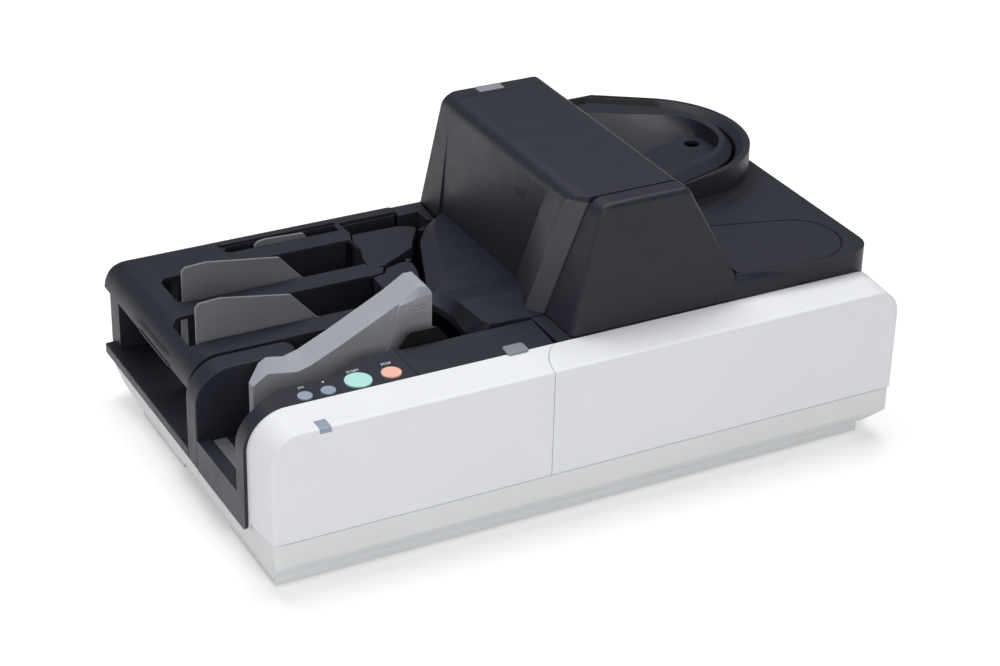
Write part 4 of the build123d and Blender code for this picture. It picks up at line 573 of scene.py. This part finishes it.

# %% [markdown]
# ## Painted shadow around the leaf cover
#
# The joint around the leaf-shaped cover is a broad dark line of shade. A near-black strip in
# the joint paints that shadow, and follows the cover's outline: a straight front edge, an arc
# around the nose, and a straight rear edge.

# %% Painted shadow in the leaf's joint
LEAF_MIDDLE = (476.5, 75.5)
LEAF_RADIUS = 34.5
FRONT_LEAN = math.radians(5.6)     # lean of the straight edges
REAR_LEAN = math.radians(15.5)
SHADOW_FRONT_X = 408.0               # the painted shadow ends short of the hinge
SHADOW_REAR_X = 414.0


def leaf_line(grow, count=48):
    """Points of the leaf's outline grown by grow mm, from the tower around the nose: an arc
    and its tangents, which lean by the two angles."""
    radius = LEAF_RADIUS + grow
    angle = np.linspace(-math.pi / 2 - FRONT_LEAN, math.pi / 2 - REAR_LEAN, count)
    arc = np.stack([LEAF_MIDDLE[0] + radius * np.cos(angle),
                    LEAF_MIDDLE[1] + radius * np.sin(angle)], -1)
    front, rear = arc[0], arc[-1]
    first = [SHADOW_FRONT_X, front[1] + (front[0] - SHADOW_FRONT_X) * math.tan(FRONT_LEAN)]
    last = [SHADOW_REAR_X, rear[1] + (rear[0] - SHADOW_REAR_X) * math.tan(REAR_LEAN)]
    return np.vstack([[first], arc, [last]])


# Near-black and without reflection: the painted shadow in the joint around the leaf cover.
finishes["seal_black"] = moulded_plastic("painted_gap_shadow", srgb(5, 5, 6), 0.95, level=0.0)


def leaf_painted_shadow():
    """A flat near-black strip 0.7 mm wide, 1.3 mm at the nose, in the joint, as painted
    shadow; it ends short of the hinge, where the cover's corner swings past."""
    inner = leaf_line(0.3)
    nose = np.clip((inner[:, 0] - 485.0) / 20.0, 0, 1)[:, None]
    outer = leaf_line(1.0) * (1 - nose) + leaf_line(1.6) * nose
    corners = ((inner, -0.6), (outer, -0.6), (outer, 0.04), (inner, -0.2))
    rings = [np.column_stack([line, np.full(len(line), DECK_TOP + height)])
             for line, height in corners]
    return new_piece("leaf_painted_shadow", np.stack(rings, 1), tube_faces(len(inner), 4), "body",
                     "black_part", finishes["seal_black"])


leaf_painted_shadow()
print("leaf painted shadow placed")

# %% [markdown]
# ## Tip of the pusher and shoulder of the end frame
#
# At the pusher's tip a bright facet slopes from the top edge down to the gripped face. The
# upper left corner of the gripped face is lowered first, so that it stays under the facet. A
# small filling piece closes the frame's shoulder behind the white cover.

# %% Facet of the pusher and shoulder of the frame
PUSHER_TIP = 165.0
PUSHER_END = 170.0
GRIP_FACE = 98.0
TOP_PROFILE = ([0, 3, 10, 28], [4.0, 0.0, 0.0, 11.0])    # fall of the top edge from the end


def lower_grip_corner(drop=2.9, near=0.2):
    """Moves the rounded copy's corners at the grip's upper left down by drop mm."""
    corner = at([PUSHER_END - 26.0, GRIP_FACE, PUSHER_TIP - 7.0])
    for vertex in parts["pusher"].data.vertices:
        away = vertex.co - Vector(corner)
        if abs(away.x) < near * MM and abs(away.z) < near * MM:
            vertex.co.z -= drop * MM


def pusher_facet():
    """A wedge between the top edge and the gripped face, whose own edge starts 5 mm below
    the tip and falls by 0.19 mm per mm."""
    away = np.array([26.0, 18.0, 10.0, 6.0, 3.0, 0.12])
    edge = PUSHER_TIP - np.interp(away, *TOP_PROFILE) - 0.04
    grip = np.minimum(PUSHER_TIP - 5.0 - 0.188 * away, edge - 0.2)
    rear, front = GRIP_FACE + 3.1, GRIP_FACE + 0.02
    section = [(rear, edge - 12.0), (front, edge - 12.0), (front, grip), (rear, edge)]
    return new_piece("pusher_facet", along_x(PUSHER_END - away, section),
                     tube_faces(len(away), 4), "pusher_slide", "pusher_grey")


ARCH_RADIUS = 30.0
ARCH_MIDDLE = (24.0, 101.0)


def frame_shoulder():
    """A strip of 2.4 mm under the frame's arch, a circle around its middle in x and z."""
    x = np.linspace(6.8, 13.0, 9)
    arch = ARCH_MIDDLE[1] + np.sqrt(ARCH_RADIUS ** 2 - (ARCH_MIDDLE[0] - x) ** 2) - 0.02
    front, rear = 38.05, 43.1
    section = [(front, arch - 2.4), (rear, arch - 2.4), (rear, arch), (front, arch)]
    return new_piece("frame_shoulder", along_x(x, section), tube_faces(len(x), 4), "body",
                     "charcoal_shell")


lower_grip_corner()
pusher_facet()
frame_shoulder()
print("facet and shoulder placed")

# %% [markdown]
# ## Foot of the U-turn's rim
#
# Beside the tower the wall of the U-turn runs out on to the deck in a wide hollow curve that
# gets smaller towards the nose. It is a quarter of an ellipse, carried along the wall.

# %% Hollow curve between rim and deck
NOSE = np.array([440.0, 244.0])
RIM_RADIUS = 84.0
LEG_ANGLE = math.radians(17.0)
FOOT_SECTIONS = 48


def rim_path(count):
    """Points on the outer wall of the rim and the outward directions there: a straight leg
    up to the nose, then an arc round it."""
    leg = count // 2
    out = np.array([math.sin(LEG_ANGLE), -math.cos(LEG_ANGLE)])
    back = np.array([-math.cos(LEG_ANGLE), -math.sin(LEG_ANGLE)])
    run = np.linspace(63.0, 0.0, leg)[:, None]
    straight = NOSE + RIM_RADIUS * out + run * back
    turn = np.linspace(LEG_ANGLE - math.pi / 2, math.radians(-14), count - leg + 1)[1:, None]
    round_out = np.hstack([np.cos(turn), np.sin(turn)])
    return (np.vstack([straight, NOSE + RIM_RADIUS * round_out]),
            np.vstack([np.repeat(out[None], leg, 0), round_out]))


def rim_foot(count=FOOT_SECTIONS, steps=12):
    """The hollow curve: across it, the distance from the wall is w (1 - sin a) and the height
    h (1 - cos a), with w and h falling along the path."""
    wall, out = rim_path(count)
    share = np.linspace(0, 1, count)[:, None]
    wide = 13.0 * (1 - share) ** 1.1 + 0.8
    high = 12.0 * (1 - share) ** 1.3 + 0.8
    a = np.linspace(0, np.pi / 2, steps)[None]
    away = np.hstack([wide * (1 - np.sin(a)), np.full((count, 2), -1.2), wide])
    rise = np.hstack([high * (1 - np.cos(a)), high, np.full((count, 2), -0.8)])
    plan = wall[:, None, :] + away[:, :, None] * out[:, None, :]
    points = np.concatenate([plan, (DECK_TOP + rise)[:, :, None]], 2)
    return new_piece("rim_foot", points, tube_faces(count, steps + 3), "body", "charcoal_shell")


rim_foot()
foot_line = rim_path(FOOT_SECTIONS)[0]
print("rim foot from", foot_line[0], "to", foot_line[-1])

# %% [markdown]
# ## Dark cover on the rear of the rim
#
# The rear branch of the rim is covered by a darker, smoother moulding. It has the rim's own
# shape, so it is made in the material: where a point lies within the rear branch and near its
# crest, the shader turns near-black and glossier. The change is sharp, as at a real joint.

# %% Two-tone material of the rim
def two_tone(material, x_limit, y_limit, z_limit, colour, roughness):
    """Near-black where x is below x_limit mm and y and z are above y_limit and z_limit mm of
    the drawing; the three tests are multiplied and mix the colours."""
    tree = material.node_tree
    shader = tree.nodes["Principled BSDF"]
    place = add_node(tree, "ShaderNodeTexCoord").outputs["Object"]
    split = add_node(tree, "ShaderNodeSeparateXYZ")
    tree.links.new(place, split.inputs["Vector"])
    edge = at([x_limit, y_limit, z_limit])
    left = math_value(tree, "LESS_THAN", split.outputs["X"], edge[0])
    rear = math_value(tree, "GREATER_THAN", split.outputs["Y"], edge[1])
    upper = math_value(tree, "GREATER_THAN", split.outputs["Z"], edge[2])
    both = math_value(tree, "MULTIPLY", left, rear)
    inside = math_value(tree, "MULTIPLY", both, upper)
    for socket, value in (("Base Color", scaled(colour, 1.0)), ("Roughness", roughness)):
        before = shader.inputs[socket].links[0].from_socket
        kind = "RGBA" if socket == "Base Color" else "FLOAT"
        mix = add_node(tree, "ShaderNodeMix", data_type=kind)
        tree.links.new(inside, mix.inputs["Factor"])
        used = {s.name: s for s in mix.inputs if s.enabled}
        tree.links.new(before, used["A"])
        used["B"].default_value = value
        result = [s for s in mix.outputs if s.enabled][0]
        tree.links.new(result, shader.inputs[socket])


rim_finish = moulded_plastic("rim_plastic", CHARCOAL, 0.44, level=0.3)
two_tone(rim_finish, 487.0, 286.0, 163.0, srgb(14, 14, 17), 0.3)
parts["loop_rim"].data.materials[0] = rim_finish
print("rim material nodes:", len(rim_finish.node_tree.nodes))

# %% [markdown]
# ## Legends of the keys
#
# Small white legends are printed behind the keys: jog, start and stop, and a plain triangle
# for the second key. Each word is a text turned into a mesh and laid on the control strip, a
# few hundredths of a millimetre thick like the paint. The letters are taller than the font's,
# as they are in the photograph.

# %% Printed legends
LEGEND_HEIGHT = STRIP_TOP + 0.02
LETTER_TALL = 2.3
LETTER_STRETCH = 1.3
LETTER_SPACE = 1.08
LETTER_DEPTH = 0.012     # of the letters' height, like the weight added to their strokes
LETTER_WEIGHT = 0.012
WORDS = (("JOG", (47.2, 58.2)), ("START", (90.2, 64.2)), ("STOP", (116.2, 63.8)))
finishes["legend_white"] = moulded_plastic("legend_paint", srgb(216, 218, 222), 0.5, 0.2, 0.002)


def printed_word(word, centre):
    """A word centred at x and y mm on the control strip, in letters whose height in mm is
    LETTER_TALL times the stretch."""
    curve = bpy.data.curves.new("legend_" + word, "FONT")
    curve.body = word
    curve.space_character = LETTER_SPACE
    curve.extrude = LETTER_DEPTH
    curve.offset = LETTER_WEIGHT
    source = bpy.data.objects.new("legend_source", curve)
    bpy.context.scene.collection.objects.link(source)
    mesh = bpy.data.meshes.new_from_object(source)
    bpy.data.objects.remove(source)
    corners = np.empty(len(mesh.vertices) * 3)
    mesh.vertices.foreach_get("co", corners)
    corners = corners.reshape(-1, 3)
    low, high = corners.min(0), corners.max(0)
    corners = (corners - (low + high) / 2) * (LETTER_TALL / (high[1] - low[1]))
    corners[:, 1] *= LETTER_STRETCH
    corners = corners + np.array([centre[0], centre[1], LEGEND_HEIGHT])
    mesh.vertices.foreach_set("co", at(corners).ravel())
    mesh.materials.clear()
    mesh.materials.append(finishes["legend_white"])
    piece = bpy.data.objects.new("legend_" + word.lower(), mesh)
    bpy.context.scene.collection.objects.link(piece)
    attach(piece, "body")
    return piece


for word, centre in WORDS:
    printed_word(word, centre)
triangle = np.array([[-1.2, 0.9], [0.0, -1.2], [1.2, 0.9]]) + np.array([64.6, 58.8])
prism = np.stack([np.hstack([triangle, np.full((3, 1), STRIP_TOP + z)]) for z in (-0.02, 0.04)])
new_piece("legend_triangle", prism, tube_faces(2, 3), "body", "charcoal_shell",
          finishes["legend_white"])

# %% [markdown]
# ## Floor and light
#
# The photograph is a studio picture on white. A pale floor keeps the soft shadow under the
# machine, and a large lamp above, one in front and a weak one at the left give the broad,
# even sheen on the dark covers. The floor is a little brighter to the camera and in
# reflections than its paint alone would be, and more so away from the machine. The world is
# white to the camera but dim as a light, so the background is white from every side and the
# dark plastics stay dark.

# %% Floor, lamps and world
FLOOR_HALF = 6.0
FLOOR_PAINT = (0.9, 0.9, 0.9, 1.0)
WHITE = (1.0, 1.0, 1.0, 1.0)
LIFT = (0.32, 1.0)           # added brightness of the floor, near and far
LIFT_REACH = (0.75, 2.2)     # metres from the machine where it starts and stops growing
WORLD_LIGHT = 0.15
LAMP_AIM = (0.0, 0.0, 0.1)


def plain_floor():
    """A square of pale paint on the table's plane that shows white to the camera."""
    mesh = bpy.data.meshes.new("floor")
    corners = np.array([(-1, -1, 0), (1, -1, 0), (1, 1, 0), (-1, 1, 0)]) * FLOOR_HALF
    mesh.from_pydata(corners.tolist(), [], [(0, 1, 2, 3)])
    floor = bpy.data.objects.new("floor", mesh)
    bpy.context.scene.collection.objects.link(floor)
    material, tree, shader, place = blank_material("pale_floor")
    shader.inputs["Base Color"].default_value = FLOOR_PAINT
    shader.inputs["Roughness"].default_value = 0.9
    rays = add_node(tree, "ShaderNodeLightPath")
    seen = math_value(tree, "MAXIMUM", rays.outputs["Is Camera Ray"],
                      rays.outputs["Is Glossy Ray"])
    seen = math_value(tree, "MAXIMUM", seen, rays.outputs["Is Transmission Ray"])
    away = add_node(tree, "ShaderNodeVectorMath", operation="LENGTH")
    tree.links.new(place, away.inputs[0])
    lift = mapped(tree, away.outputs["Value"], *LIFT, *LIFT_REACH)
    shader.inputs["Emission Color"].default_value = WHITE
    tree.links.new(math_value(tree, "MULTIPLY", seen, lift), shader.inputs["Emission Strength"])
    mesh.materials.append(material)


def soft_lamp(name, spot, size, power):
    """A rectangular area lamp of size metres and power watts, at spot metres, that faces the
    machine."""
    data = bpy.data.lights.new(name, "AREA")
    data.shape = "RECTANGLE"
    data.size = size[0]
    data.size_y = size[1]
    data.energy = power
    lamp = bpy.data.objects.new(name, data)
    lamp.location = spot
    lamp.rotation_euler = (Vector(LAMP_AIM) - Vector(spot)).to_track_quat("-Z", "Y").to_euler()
    bpy.context.scene.collection.objects.link(lamp)


def white_world():
    """A world of full brightness to camera and transmitted rays and a dim one to others."""
    world = bpy.data.worlds.new("studio")
    bpy.context.scene.world = world
    world.use_nodes = True
    tree = world.node_tree
    background = tree.nodes["Background"]
    background.inputs["Color"].default_value = WHITE
    rays = add_node(tree, "ShaderNodeLightPath")
    seen = math_value(tree, "MAXIMUM", rays.outputs["Is Camera Ray"],
                      rays.outputs["Is Transmission Ray"])
    tree.links.new(mapped(tree, seen, WORLD_LIGHT, 1.0, 0.0, 1.0),
                   background.inputs["Strength"])


plain_floor()
soft_lamp("overhead_lamp", (0.1, 0.35, 1.7), (1.8, 1.3), 26.0)
soft_lamp("front_lamp", (-0.7, -2.2, 1.2), (1.8, 1.2), 23.0)
soft_lamp("left_lamp", (-2.2, 0.3, 0.9), (1.2, 1.2), 7.0)
white_world()
